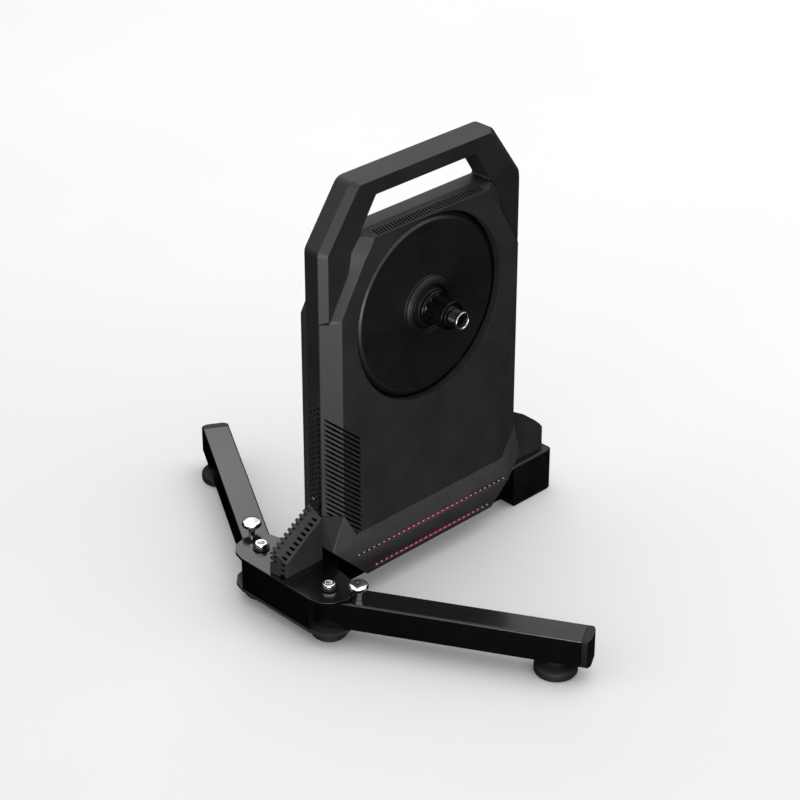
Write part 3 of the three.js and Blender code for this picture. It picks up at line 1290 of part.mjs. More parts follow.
part.add(piece("flywheel", flywheel(), steel));
part.add(piece("flywheel_shaft", shaft(), steel));
part.add(piece("small_pulley", smallPulley(), alloy));
part.add(piece("shaft_bearing_web", shaftBearing(X_WEB_BACK + FIT), steel));
part.add(piece("shaft_bearing_shell", shaftBearing(X_SHELL_CAP + WALL + FIT), steel));
part.add(piece("drive_belt", driveBelt(), softBlack));
part.add(piece("idler_roller", idlerRoller(), alloy));
part.add(piece("idler_pin", idlerPin(), steel));

for (const [word, side] of [["upper", 1], ["lower", -1]]) {
  part.add(piece(`magnet_core_${word}`, magnetCore(side), steel));
  part.add(piece(`magnet_coil_${word}`, magnetCoil(side), copper));
}
part.add(piece("magnet_bracket", magnetBracket(), steel));
part.add(piece("control_board", controlBoard(), board));
part.add(piece("power_socket", onSlab(powerSocket()), softBlack));

export default part;
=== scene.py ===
# %% [markdown]
# # A direct drive bike trainer, dressed for its portrait
#
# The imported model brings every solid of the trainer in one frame: metres, X along the axle with the
# sprocket side positive, Y along the bicycle with its front positive, Z up from the floor. The solids
# could be modelled again in Blender, but then their sizes and their motion would drift apart. So each
# solid that is fine enough is kept and given its surface, and only the small turned pieces, which show
# their facets, are replaced.

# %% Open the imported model
import math

import bpy
import numpy as np
from mathutils import Matrix, Vector


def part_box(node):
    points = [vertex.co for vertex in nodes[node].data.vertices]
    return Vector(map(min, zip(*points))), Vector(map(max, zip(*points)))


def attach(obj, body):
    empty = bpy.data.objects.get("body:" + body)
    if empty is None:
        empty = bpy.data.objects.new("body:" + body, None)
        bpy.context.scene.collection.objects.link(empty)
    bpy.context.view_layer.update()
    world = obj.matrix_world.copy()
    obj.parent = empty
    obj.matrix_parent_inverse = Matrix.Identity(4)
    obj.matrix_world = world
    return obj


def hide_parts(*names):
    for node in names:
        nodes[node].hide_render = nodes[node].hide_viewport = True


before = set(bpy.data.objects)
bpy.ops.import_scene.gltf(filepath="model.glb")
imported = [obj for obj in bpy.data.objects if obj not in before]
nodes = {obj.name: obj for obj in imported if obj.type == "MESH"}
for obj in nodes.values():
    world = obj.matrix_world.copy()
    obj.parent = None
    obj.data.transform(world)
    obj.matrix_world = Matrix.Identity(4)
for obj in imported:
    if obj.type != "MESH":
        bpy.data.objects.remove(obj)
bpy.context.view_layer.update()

MM = 0.001

# %% [markdown]
# ## Colour
#
# A colour is written as the hex value that a picture editor shows for it. The renderer adds up light,
# so it needs linear values, and each colour here goes through one function that turns the one into the
# other.


# %% Hex colours to linear light
def linear(code, alpha=1.0):
    """Linear colour of a hex code: each channel is the power 2.4 of its shifted value, and straight
    near black."""
    channels = [int(code[i:i + 2], 16) / 255 for i in (1, 3, 5)]
    straight = [c / 12.92 if c <= 0.04045 else ((c + 0.055) / 1.055) ** 2.4 for c in channels]
    return (*straight, alpha)


print("mid grey", [round(c, 3) for c in linear("#808080")])

# %% [markdown]
# ## One helper for shader nodes
#
# A material is a small graph of nodes. Clicking it together hides the numbers, so it is written down
# here: each call adds one node, sets its properties, and fills each input with a value or with another
# node's output.


# %% Add one node to a graph
def node(tree, kind, inputs=None, **settings):
    """One node of a graph, of a kind named without its ShaderNode prefix. Each input, by name or
    number, takes a plain value or another node's socket, and the settings are the node's own
    properties."""
    made = tree.nodes.new("ShaderNode" + kind)
    for key, value in settings.items():
        setattr(made, key, value)
    for key, value in (inputs or {}).items():
        if isinstance(value, bpy.types.NodeSocket):
            tree.links.new(value, made.inputs[key])
        else:
            made.inputs[key].default_value = value
    return made


print("node helper ready for Blender", bpy.app.version_string)

# %% [markdown]
# ## One recipe for every surface
#
# Moulded plastic, powder coat, turned metal and rubber differ in numbers and not in kind. Each has a
# colour that drifts a little in patches and a roughness that drifts with it. Each has layers of relief
# with a real size and height in millimetres, and edges that are slightly round and, where hands and
# tools touch them, a bit lighter. Pictures of such surfaces would stretch over the solids, so all of it
# is noise in object coordinates.

# %% Worn edges
EDGE_SPAN = (0.86, 0.995)     # cosine between the rounded and the flat normal, on an edge and beside it
RUB_SPAN = (0.42, 0.7)        # noise at which wear begins, and at which it is full
RUB_MM = 6.0                  # size of a worn spot
RUB_DETAIL = 5.0
NOISE_ROUGHNESS = 0.55


def worn_tone(tree, where, normal, tone, worn, worn_share):
    """The tone, turned towards the worn one by the product of two shares. One grows where the rounded
    normal leaves the flat one, which is on edges; the other is spotty noise, because no edge wears
    evenly."""
    flat = node(tree, "NewGeometry").outputs["Normal"]
    meet = node(tree, "VectorMath", {0: normal, 1: flat}, operation="DOT_PRODUCT").outputs["Value"]
    edge = node(tree, "MapRange", {"Value": meet, "From Min": EDGE_SPAN[0], "From Max": EDGE_SPAN[1],
                                   "To Min": 1.0, "To Max": 0.0}).outputs[0]
    spots = node(tree, "TexNoise", {"Vector": where, "Scale": 1 / (RUB_MM * MM), "Detail": RUB_DETAIL,
                                    "Roughness": NOISE_ROUGHNESS}).outputs["Fac"]
    rub = node(tree, "MapRange", {"Value": spots, "From Min": RUB_SPAN[0], "From Max": RUB_SPAN[1],
                                  "To Min": 0.0, "To Max": worn_share}).outputs[0]
    both = node(tree, "Math", {0: edge, 1: rub}, operation="MULTIPLY", use_clamp=True).outputs[0]
    return node(tree, "Mix", {0: both, 6: tone, 7: linear(worn)}, data_type="RGBA").outputs[2]


print("worn spots of", RUB_MM, "mm")

# %% [markdown]
# The recipe is read from the coordinates to the shader: patches, then colour and roughness, then the
# round edge and its wear, and last the relief of each grain.

# %% The recipe
PATCH_SPAN = (0.3, 0.7)       # range of the patch noise that is laid out over the drift
PATCH_DETAIL = 4.0
GRAIN_DETAIL = 2.0


def surface(name, colour, drift, patch_mm, roughness, grain, rounding=0.5, worn=None, worn_share=0.5,
            stretch=(1, 1, 1), **fixed):
    """One material. Noise with patches of patch_mm leads the colour from the first to the second hex
    value and the roughness from low to high. Edges look rounded by the given millimetres, and worn is
    their lighter tone. Each grain layer, a size and a height in millimetres, is noise turned into
    relief. Stretch draws the noise out along an axis, and the fixed values go straight to the shader's
    sockets of the same names."""
    made = bpy.data.materials.new(name)
    made.use_nodes = True
    tree = made.node_tree
    tree.nodes.clear()
    where = node(tree, "TexCoord").outputs["Object"]
    drawn = node(tree, "Mapping", {"Vector": where, "Scale": tuple(1 / s for s in stretch)}).outputs[0]
    patch = node(tree, "TexNoise", {"Vector": drawn, "Scale": 1 / (patch_mm * MM), "Detail": PATCH_DETAIL,
                                    "Roughness": NOISE_ROUGHNESS}).outputs["Fac"]
    span = {"Value": patch, "From Min": PATCH_SPAN[0], "From Max": PATCH_SPAN[1]}
    share = node(tree, "MapRange", span).outputs[0]
    rough = node(tree, "MapRange", {**span, "To Min": roughness[0], "To Max": roughness[1]}).outputs[0]
    ends = {0: share, 6: linear(colour), 7: linear(drift)}
    tone = node(tree, "Mix", ends, data_type="RGBA").outputs[2]
    normal = node(tree, "Bevel", {"Radius": rounding * MM}, samples=4).outputs[0]
    if worn:
        tone = worn_tone(tree, where, normal, tone, worn, worn_share)
    for size, height in grain:
        relief = node(tree, "TexNoise", {"Vector": drawn, "Scale": 1 / (size * MM), "Detail": GRAIN_DETAIL,
                                         "Roughness": NOISE_ROUGHNESS}).outputs["Fac"]
        normal = node(tree, "Bump", {"Height": relief, "Distance": height * MM, "Strength": 1.0,
                                     "Normal": normal}).outputs[0]
    sockets = {socket.replace("_", " "): value for socket, value in fixed.items()}
    sockets.update({"Base Color": tone, "Roughness": rough, "Normal": normal})
    shader = node(tree, "BsdfPrincipled", sockets)
    node(tree, "OutputMaterial", {"Surface": shader.outputs["BSDF"]})
    return made


print("patches from", PATCH_SPAN[0], "to", PATCH_SPAN[1], "of the noise")

# %% [markdown]
# ## Surfaces of the slab
#
# The arch is cast and powder coated and the covers on it are moulded. Both are near black and matt, so
# what parts them for the eye is the grain. The real grains are near 0.1 mm, too fine to show from three
# metres, so here they are drawn about half a millimetre wide.

# %% Cast frame and moulded covers
# Die cast aluminium under a textured powder coat: matt, with a coarse pebbled grain that softens its gloss.
casting = surface("casting_powder_coat", "#121214", "#161618", 60, (0.46, 0.54),
                  [(0.9, 0.012), (0.32, 0.008)], 0.7, "#3a3a3e", 0.35, Specular_IOR_Level=0.42)
# Polycarbonate blend from a spark eroded tool: as matt as the casting, with a finer and more even grain.
moulding = surface("cover_spark_grain", "#18181a", "#1d1d1f", 45, (0.46, 0.54),
                   [(0.55, 0.012), (0.22, 0.006)], 0.5, "#303034", 0.3, Specular_IOR_Level=0.4)
# The same plastic from a smoother tool: the skirt's satin face takes the light a little better.
skirting = surface("skirt_satin_moulding", "#28282a", "#2d2d2f", 45, (0.4, 0.48),
                   [(0.55, 0.01), (0.22, 0.005)], 0.5, "#38383c", 0.3, Specular_IOR_Level=0.5)
print("slab surfaces", casting.name, moulding.name, skirting.name)

# %% [markdown]
# ## Surfaces of the base
#
# The legs, the spine and the channel are welded steel under a gloss powder coat. It mirrors the pale
# room in its flat tops and stays black on its sides, so it needs a smooth coat and a base colour close
# to nothing.

# %% Gloss coat, nylon and rubber
# Gloss powder coat on steel tube: black and mirror-like, with the wide faint waves of orange peel.
gloss = surface("gloss_powder_coat", "#030304", "#060607", 90, (0.18, 0.24),
                [(3.2, 0.012), (1.1, 0.003)], 0.8, "#2c2c30", 0.4, Coat_Weight=0.3, Coat_Roughness=0.1)
# Moulded glass filled nylon of the caps and the front foot: dull and slightly mottled.
nylon = surface("moulded_nylon", "#060607", "#09090a", 20, (0.38, 0.5),
                [(0.8, 0.01), (0.25, 0.006)], 0.6, "#303034", 0.3, Specular_IOR_Level=0.3)
# Moulded rubber of the pads and the belt: the dullest black, which hardly shines at all.
rubber = surface("moulded_rubber", "#070708", "#0b0b0c", 12, (0.6, 0.8), [(0.7, 0.02), (0.2, 0.01)], 0.5,
                 Specular_IOR_Level=0.3)
print("base surfaces", gloss.name, nylon.name, rubber.name)

# %% [markdown]
# ## Surfaces of the turned pieces
#
# The disc, the freewheel body, the axle ends and the fasteners come off a lathe. A tool leaves fine
# rings, which spread the shine a little across them. What is left bare is a metal with a metal's own
# colour, and what is anodised or blackened stays dark and keeps only a thin gloss.

# %% Anodised, blackened and bright metal
# Hard anodised aluminium of the disc: near black, satin, with a fine even grain.
rotor_coat = surface("black_anodised_turned", "#080809", "#0a0a0b", 30, (0.42, 0.5), [(0.5, 0.004)], 0.4,
                     "#3c3c40", 0.35, Specular_IOR_Level=0.36)
# The same coat where the tool broke the disc's edge: smoother, and lighter in colour as a painted
# highlight, so that it draws a pale line round the disc.
lip_highlight_coat = surface("anodised_lip_highlight", "#0e0e0f", "#111112", 30, (0.4, 0.46), [(0.5, 0.004)], 0.3,
                   "#3c3c40", 0.35)
# Painted shade on the slope that falls into the gap: a darker and duller copy of the disc's coat, so that
# it swallows the light.
gap_shade_coat = surface("anodised_gap_shade", "#040405", "#060607", 30, (0.6, 0.7), [(0.5, 0.01)], 0.3,
                   Specular_IOR_Level=0.15)
# Hard anodised freewheel body: glossier than the disc, and metallic in its highlights.
spline_coat = surface("hard_anodised", "#0c0c0e", "#131315", 8, (0.24, 0.34), [(0.4, 0.003)], 0.25,
                      "#6a6a6e", 0.5, Metallic=0.7)
# Black oxide on the washers: a dark ring that sets off the bright bolt head.
washer_coat = surface("black_oxide", "#030304", "#060607", 5, (0.3, 0.42), [(0.3, 0.004)], 0.25,
                      "#38383c", 0.3, Specular_IOR_Level=0.15)
# Chrome over polished steel: it mirrors the room in hard patches of white and black.
chrome = surface("polished_chrome", "#d6d8dc", "#e6e7ea", 10, (0.12, 0.18), [(4.0, 0.002)], 0.25,
                 Metallic=1.0)
# Bare turned aluminium of the axle ends: bright, with fine rings across the axle.
alloy = surface("turned_alloy", "#a4a7ab", "#bcbfc3", 6, (0.2, 0.3), [(0.25, 0.003)], 0.25, Metallic=1.0,
                stretch=(0.25, 3, 3))
# Ground steel of shafts, bearings and studs: greyer and a little duller than the aluminium.
steel = surface("ground_steel", "#7e8186", "#94979b", 8, (0.28, 0.4), [(0.2, 0.003)], 0.3, Metallic=1.0)
print("turned surfaces ready, materials so far", len(bpy.data.materials))

# %% [markdown]
# ## Surfaces of the hidden pieces
#
# The brake's coils, the board and the socket hardly show, but a part that opens or turns should look
# right from every side, so they have their usual finishes.

# %% Copper, board and insulator
# Enamelled copper wire: an orange metal, its noise drawn out along the turns of the winding.
copper = surface("enamelled_copper", "#a65c2c", "#bf7038", 3, (0.25, 0.4), [(0.4, 0.05)], 0.3, Metallic=0.9,
                 stretch=(9, 1, 9))
# Solder mask over a glass fibre board: dark green under a clear coat.
laminate = surface("solder_mask", "#12351f", "#174628", 5, (0.3, 0.45), [(0.6, 0.01)], 0.2, Coat_Weight=0.3)
# Gloss moulded insulator of the power socket.
bakelite = surface("gloss_insulator", "#0d0d0f", "#131316", 6, (0.2, 0.3), [(0.8, 0.003)], 0.3)
print("hidden surfaces", copper.name, laminate.name, bakelite.name)

# %% [markdown]
# ## Painted shade at two ends
#
# Two places lie deeper in the shade of their neighbours than a small set of lamps can make them: the facet
# where the skirt draws in under the cover, and the lower plate of the channel. Moving lamps for them would
# spoil the rest, so past a stated place along one axis their surface gets painted shade: it turns darker
# and duller.


# %% Paint shade past a place
def paint_shade_below(material, axis, start, end, colour, roughness):
    """Painted shade: under start along the axis, in millimetres, the surface has the given dark colour and
    roughness; from there to end it returns to its own."""
    tree = material.node_tree
    shader = tree.nodes["Principled BSDF"]
    where = node(tree, "TexCoord").outputs["Object"]
    place = node(tree, "SeparateXYZ", {0: where}).outputs[axis]
    span = {"Value": place, "From Min": start * MM, "From Max": end * MM}
    own = node(tree, "MapRange", span).outputs[0]
    tone, rough = (shader.inputs[socket].links[0].from_socket for socket in ("Base Color", "Roughness"))
    mixed = node(tree, "Mix", {0: own, 6: linear(colour), 7: tone}, data_type="RGBA").outputs[2]
    level = node(tree, "MapRange", {"Value": own, "To Min": roughness, "To Max": rough}).outputs[0]
    tree.links.new(mixed, shader.inputs["Base Color"])
    tree.links.new(level, shader.inputs["Roughness"])


# Painted shade: the skirt's facet under the cover and the channel's lower plate turn dark and dull.
paint_shade_below(skirting, "X", 27.0, 29.0, "#080809", 0.9)
paint_shade_below(gloss, "Z", 19.5, 20.1, "#020203", 0.9)
print("duller ends on", skirting.name, "and", gloss.name)

# %% [markdown]
# ## Shading
#
# Faces that meet at a small angle belong to one curve, so they share their shading. The others keep a
# sharp line between them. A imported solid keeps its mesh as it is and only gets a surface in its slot.


# %% Shade and dress
SOLID_SHARP = 28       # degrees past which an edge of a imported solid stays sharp


def shade(mesh, angle=SOLID_SHARP):
    """Smooth shading, with a sharp line wherever two faces meet at more than the angle in degrees."""
    mesh.shade_smooth()
    mesh.set_sharp_from_angle(angle=math.radians(angle))


def dress(material, *names):
    """Gives each named solid one material and its shading."""
    for name in names:
        mesh = nodes[name].data
        mesh.materials.clear()
        mesh.materials.append(material)
        shade(mesh)


print("sharp past", SOLID_SHARP, "degrees unless told otherwise")

# %% [markdown]
# ## Round edges
#
# No cast, moulded or folded piece has a sharp edge: in the photograph each edge is a thin bright line.
# The shader could fake that line alone, but a real bevel also rounds the outline, so the large solids
# get one. It needs whole faces, so the loose triangles are welded and the flat ones joined first.

# %% Bevel a solid
WELD_REACH = 0.002     # millimetres within which corners are one
FLAT_ANGLE = 0.5       # degrees within which neighbouring triangles are one face


def round_edges(radius, angle, *names):
    """Welds a solid's loose triangles, joins those that lie in one plane, rounds each edge that turns
    by more than the angle in degrees to the radius in millimetres, and weights the shading so that flat
    faces stay flat."""
    for name in names:
        solid = nodes[name]
        solid.modifiers.new("weld", "WELD").merge_threshold = WELD_REACH * MM
        flat = solid.modifiers.new("flat", "DECIMATE")
        flat.decimate_type = "DISSOLVE"
        flat.angle_limit = math.radians(FLAT_ANGLE)
        bevel = solid.modifiers.new("round", "BEVEL")
        bevel.width = radius * MM
        bevel.segments = 2
        bevel.limit_method = "ANGLE"
        bevel.angle_limit = math.radians(angle)
        bevel.miter_outer = "MITER_ARC"
        solid.modifiers.new("weigh", "WEIGHTED_NORMAL").keep_sharp = False


print("weld within", WELD_REACH, "mm")

# %% [markdown]
# ## The solids that stay
#
# The cast arch has the roundest edges, the moulded drive cover the crispest, and the skirt keeps all
# but its outermost edges, because its facets run softly into each other.

# %% Dress the slab and the base
dress(casting, "arch_frame")
dress(moulding, "drive_cover", "left_cover", "grille_rear", "grille_front")
dress(skirting, "led_skirt")
round_edges(1.2, 25, "arch_frame", "left_cover")
round_edges(0.5, 25, "drive_cover")
round_edges(0.6, 66, "led_skirt")
dress(gloss, "base_spine", "rear_channel", "leg_drive", "leg_left")
round_edges(1.0, 25, "base_spine", "rear_channel", "leg_drive", "leg_left")
round_edges(2.0, 25, "front_foot")
dress(nylon, "front_foot", "leg_cap_drive", "leg_cap_left")
print("solids with rounded edges", sum(len(solid.modifiers) > 0 for solid in nodes.values()))

# %% [markdown]
# The rest is dressed by what it is made of. Some of these solids are replaced further down, but they
# keep a surface too, so that nothing is left bare.

# %% Dress the small and hidden solids
dress(rubber, "rear_pad_drive", "rear_pad_left", "level_foot_drive", "level_foot_left", "drive_belt")
dress(chrome, "lock_knob_drive", "lock_knob_left", "pivot_bolt_drive", "pivot_bolt_left")
dress(alloy, "axle_adapter_drive", "axle_adapter_left", "small_pulley", "idler_roller")
dress(rotor_coat, "drive_pulley")
dress(spline_coat, "freehub_body")
dress(steel, "axle_tube", "hub_bearing_back", "hub_bearing_front")
dress(steel, "freehub_bearing_back", "freehub_bearing_front")
dress(steel, "flywheel", "flywheel_shaft", "shaft_bearing_web", "shaft_bearing_shell", "idler_pin")
dress(steel, "magnet_core_upper", "magnet_core_lower", "magnet_bracket")
dress(copper, "magnet_coil_upper", "magnet_coil_lower")
dress(laminate, "control_board")
dress(bakelite, "power_socket")
print("dressed", sum(len(solid.data.materials) > 0 for solid in nodes.values()), "of", len(nodes))

# %% [markdown]
# ## Turned pieces from profiles
#
# The rotor, the freewheel body, the axle ends, the knobs, the bolts and the levelling feet all come off
# a lathe. A screw modifier could sweep each profile, but splines, threads and sockets change the radius
# with the angle. So each piece is a grid: its closed profile runs one way and the turn runs the other.


# %% A profile with broken corners
SIDE_SHARE = 0.48      # a cut takes this share of a side at most, so that two cuts never meet


def broken(corners, cut, steps=3):
    """Closed profile whose corners are cut back by the given length and bridged by a curve pulled to
    the corner: (1-t)^2 of the point before, 2t(1-t) of the corner and t^2 of the point after."""
    at = np.asarray(corners, float)
    ahead, behind = np.roll(at, -1, 0) - at, np.roll(at, 1, 0) - at
    run, back = np.linalg.norm(ahead, axis=1), np.linalg.norm(behind, axis=1)
    size = np.minimum(cut, np.minimum(run, back) * SIDE_SHARE)[:, None]
    first, last = at + behind / back[:, None] * size, at + ahead / run[:, None] * size
    t = np.linspace(0, 1, steps + 1)[None, :, None]
    curve = first[:, None] * (1 - t) ** 2 + at[:, None] * 2 * t * (1 - t) + last[:, None] * t ** 2
    return curve.reshape(-1, 2)


print("profile of a washer", broken([(5, 0), (10, 0), (10, 2), (5, 2)], 0.4).shape)

# %% [markdown]
# A piece is a mesh that rides on the body it belongs to. Its own place lies in its mesh, and its object
# stays at the origin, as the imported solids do, so that patterns and poses work alike on both.


# %% Add a piece
TURNED_SHARP = 34      # degrees past which an edge of a turned piece stays sharp


def add_piece(name, points, faces, material, body, sharp):
    """A piece from points in millimetres and faces. Edges that turn by more than the sharp angle stay
    sharp."""
    mesh = bpy.data.meshes.new(name)
    mesh.from_pydata(points * MM, [], faces)
    mesh.materials.append(material)
    shade(mesh, sharp)
    piece = bpy.data.objects.new(name, mesh)
    bpy.context.collection.objects.link(piece)
    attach(piece, body)
    return piece


def add_closed_grid(name, grid, material, body):
    """A piece from rows of points, where both ways of the grid close on themselves. The faces are
    turned round if the volume, the sum of each face's corner times the cross product of the next two,
    comes out negative."""
    rows, steps = grid.shape[:2]
    i, j = np.meshgrid(np.arange(rows), np.arange(steps), indexing="ij")
    up, on = (i + 1) % rows, (j + 1) % steps
    faces = np.stack([i * steps + j, up * steps + j, up * steps + on, i * steps + on], -1).reshape(-1, 4)
    points = grid.reshape(-1, 3)
    a, b, c, d = (points[faces[:, k]] for k in range(4))
    volume = np.einsum("ij,ij->", a, np.cross(b, c)) + np.einsum("ij,ij->", a, np.cross(c, d))
    return add_piece(name, points, faces if volume > 0 else faces[:, ::-1], material, body, TURNED_SHARP)


# %% [markdown]
# ## The lathe
#
# One function sweeps a profile round an axis. A piece that isn't round all over, such as one with
# splines, gives it a rule by which the radius changes on the way.


# %% Sweep a profile
def turned(name, corners, cut, place, body, material, axis="X", steps=96, shape=None):
    """Sweeps a closed profile of (radius, place along the axis) round the axis through place, in
    millimetres: the other two coordinates are the radius times the cosine and the sine of the turn. The
    shape function may change the radius by the turn, for splines, threads and sockets."""
    profile = broken(corners, cut) if cut > 0 else np.asarray(corners, float)
    turn = np.linspace(0, 2 * math.pi, steps, endpoint=False)[None, :]
    radius, along = profile[:, :1] + 0 * turn, profile[:, 1:] + 0 * turn
    if shape:
        radius = shape(radius, along, turn)
    one, two = radius * np.cos(turn), radius * np.sin(turn)
    grid = np.stack((along, one, two) if axis == "X" else (one, two, along), -1)
    return add_closed_grid(name, grid + np.asarray(place), material, body)


print("the usual 96 steps turn by", 360 / 96, "degrees each")

# %% [markdown]
# Some turned pieces have a second finish, such as a washer of another metal under a bolt's head. Two
# objects would hide a face inside the joint, so the piece stays one, and the faces in question are
# picked by their place.


# %% Refinish chosen faces
def face_middles(piece):
    """Middles of a piece's faces, in millimetres."""
    at = np.empty(len(piece.data.polygons) * 3)
    piece.data.polygons.foreach_get("center", at)
    return at.reshape(-1, 3) / MM


def refinish(piece, material, chosen):
    """Gives one more material to the chosen faces, told by one true or false for each face."""
    mesh = piece.data
    mesh.materials.append(material)
    slots = np.zeros(len(mesh.polygons), np.int32)
    mesh.polygons.foreach_get("material_index", slots)
    slots[chosen] = len(mesh.materials) - 1
    mesh.polygons.foreach_set("material_index", slots)


print("materials so far", len(bpy.data.materials))

# %% [markdown]
# ## Rotor
#
# The big black disc on the sprocket side is the front of the belt pulley. Its flat face falls away at
# the rim into a dark gap, and a crowned hub ring with two fine lines stands in the middle. The profile
# runs from the bore along the back, round the belt's rim and back over the face.

# %% Rotor disc
AXLE_Z = 340.0                         # height of the axle line
ROTOR_BACK, X_PLATE, X_DISC = 4.0, 18.5, 22.5      # back of the pulley, back of its plate, and its face
BELT_RADIUS, DISC_RADIUS, BELT_FRONT = 106.0, 111.0, 15.6
HUB_BORE, HUB_REACH = 14.3, 31.0
# The lip lies between two radii and the slope into the gap outside them, both in front of one place.
LIP_INNER, LIP_OUTER, LIP_BACK = 102.5, 105.6, 17.0
axle = (0, 0, AXLE_Z)
rotor_profile = [
    (HUB_BORE, ROTOR_BACK), (26, ROTOR_BACK), (26, X_PLATE), (98, X_PLATE), (98, ROTOR_BACK),
    (109.4, ROTOR_BACK), (109.4, 5), (BELT_RADIUS, 5), (BELT_RADIUS, BELT_FRONT), (109.4, BELT_FRONT),
    (110.4, 16.8), (DISC_RADIUS, 17.4), (109.8, 18.4), (107.6, 19.4), (LIP_OUTER, 20.3), (103.6, 21.8),
    (102.6, 22.3), (101.4, X_DISC), (36.2, X_DISC), (35.6, 23.1), (35.5, 25.4), (34.6, 26.8), (33.6, 27.3),
    (33.2, 26.8), (32.8, 27.5), (31.2, 27.9), (30.8, 27.4), (30.4, 28), (27.6, 28), (26.6, 27.4),
    (26.2, 24.5), (22.6, 24.5), (22.2, HUB_REACH), (HUB_BORE, HUB_REACH),
]
rotor = turned("rotor_disc", rotor_profile, 0.5, axle, "rotor", rotor_coat, steps=180)
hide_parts("drive_pulley")
at = face_middles(rotor)
from_axle = np.hypot(at[:, 1], at[:, 2] - AXLE_Z)
front_side = at[:, 0] > LIP_BACK
# Painted highlight on the lip, and painted shade on the slope into the gap.
refinish(rotor, lip_highlight_coat, front_side & (from_axle > LIP_INNER) & (from_axle < LIP_OUTER))
refinish(rotor, gap_shade_coat, front_side & (from_axle > LIP_OUTER))
print("rotor faces", len(rotor.data.polygons), "widest", round(2 * from_axle.max(), 1), "mm")

# %% [markdown]
# ## Freewheel body
#
# Nine splines run along the body that carries the sprockets. They could be cut by Boolean, but a rule
# for the radius gives clean faces: it dips where the cosine of nine times the turn is high, and the
# grooves end before the collars. A dark seal ring closes the body towards the rotor.

# %% Splines
SPLINES, GROOVE_DEPTH = 9, 1.9
GROOVE_START, FLANK = 0.25, 3.2        # cosine at which a groove begins, and how steep its flanks are
GROOVE_FROM, GROOVE_TO, GROOVE_RUN = 35.4, 60.6, 0.5      # ends along the axle, and the run out there
GROOVE_OVER = 16.5                     # only the outside, past this radius, is grooved
BODY_RADIUS, BODY_BORE, BODY_BACK, BODY_FRONT = 17.3, 12.3, 31.3, 61.7


def splined(radius, along, turn):
    """The radius less the groove's depth times two shares. One follows the cosine of nine times the
    turn, cut off below and above; the other is 1 between the collars and runs out over half a
    millimetre at both ends."""
    groove = np.clip((np.cos(SPLINES * turn) - GROOVE_START) * FLANK, 0, 1)
    past_collar = np.clip((along - GROOVE_FROM) / GROOVE_RUN, 0, 1)
    before_end = np.clip((GROOVE_TO - along) / GROOVE_RUN, 0, 1)
    return radius - GROOVE_DEPTH * groove * past_collar * before_end * (radius > GROOVE_OVER)


collar = broken([(BODY_BORE, BODY_BACK), (19.2, BODY_BACK), (19.2, 34.7), (BODY_RADIUS, 35.1)], 0.3)[2:-2]
barrel = [(BODY_RADIUS, x) for x in np.linspace(35.2, 60.9, 24)]
outside = np.vstack([collar, barrel, [(16.9, 61.5), (16.4, BODY_FRONT), (BODY_BORE, BODY_FRONT)]])
freewheel = turned("freewheel_body", outside, 0, axle, "freehub", spline_coat, steps=216, shape=splined)
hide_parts("freehub_body")
seal_profile = [(17.6, 34.7), (19.6, 34.7), (20.4, 33.6), (20.4, 32.0), (19.3, 32.0), (19.3, 34.2)]
seal = turned("freewheel_seal", seal_profile, 0.2, axle, "freehub", spline_coat, steps=120)
print("freewheel faces", len(freewheel.data.polygons), "seal faces", len(seal.data.polygons))

# %% [markdown]
# ## Axle ends
#
# A bright turned end closes the axle on each side. The one on the sprocket side is a ring with a dark
# threaded neck behind it. A thread is a ridge that climbs by its pitch in one turn, so it is again a
# rule for the radius.


# %% Threaded neck and bright ends
def threaded(pitch, depth, start, end, over):
    """A thread as a rule for the radius: place over pitch less the share of the turn gives a wave of
    straight flanks, and its height times the depth is taken off the outside between start and end."""
    def shape(radius, along, turn):
        wave = np.abs((along / pitch - turn / (2 * math.pi)) % 1 * 2 - 1)
        inside = np.clip((along - start) / pitch, 0, 1) * np.clip((end - along) / pitch, 0, 1)
        return radius - depth * wave * inside * (radius > over)
    return shape


AXLE_BORE = 6.1
NECK_RADIUS, NECK_STEP = 10.4, 0.4     # the step lays about four rows of points over each turn of thread
neck_thread = threaded(pitch=1.7, depth=0.9, start=64.5, end=75.2, over=9.9)
thread_rows = [(NECK_RADIUS, x) for x in np.arange(63.4, 75.3, NECK_STEP)]
neck_profile = [(8.8, 66.5), (8.8, 62.4), (9.6, 62), (NECK_RADIUS, 62.6), *thread_rows,
                (NECK_RADIUS, 75.4), (9.6, 75.8), (7.6, 75.8), (AXLE_BORE, 75), (AXLE_BORE, 66.6)]
neck = turned("axle_neck_drive", neck_profile, 0, axle, "base", spline_coat, steps=96, shape=neck_thread)
ring_profile = [(8.4, 75.9), (10.4, 75.9), (11, 76.5), (11, 78.3), (10.6, 78.8), (10, 79), (9.2, 79),
                (8.8, 78.7), (8.2, 77.4)]
end_drive = turned("axle_end_drive", ring_profile, 0.1, axle, "base", alloy, steps=96)
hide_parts("axle_adapter_drive")
left_profile = [(AXLE_BORE, -46), (AXLE_BORE, -59), (7.4, -62.6), (8, -63), (9, -63), (9.5, -62.5),
                (9.5, -59.8), (10.9, -59.2), (11.4, -57), (11.4, -56.2), (10.9, -55.9), (10.9, -55.2),
                (11.6, -54.9), (12.9, -46.4), (12.6, -46)]
end_left = turned("axle_end_left", left_profile, 0.2, axle, "base", alloy, steps=96)
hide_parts("axle_adapter_left")
print("axle end faces", len(neck.data.polygons), len(end_drive.data.polygons), len(end_left.data.polygons))

# %% [markdown]
# ## Places on the legs
#
# Each leg turns on a vertical bolt at the channel's end, is held by a sprung pull knob beside it and
# stands on a levelling foot near its far end. Both legs are alike, so a place is given once, as a reach
# from the pivot along the leg and a distance across it, and worked out for either side.

# %% From the leg to the frame
PIVOT = (57.5, -189.5)
LEG_ANGLE = math.radians(30.2)
FOOT_REACH, KNOB_REACH, KNOB_SIDE = 263.0, 36.0, 4.0
SIDES = (("drive", 1), ("left", -1))


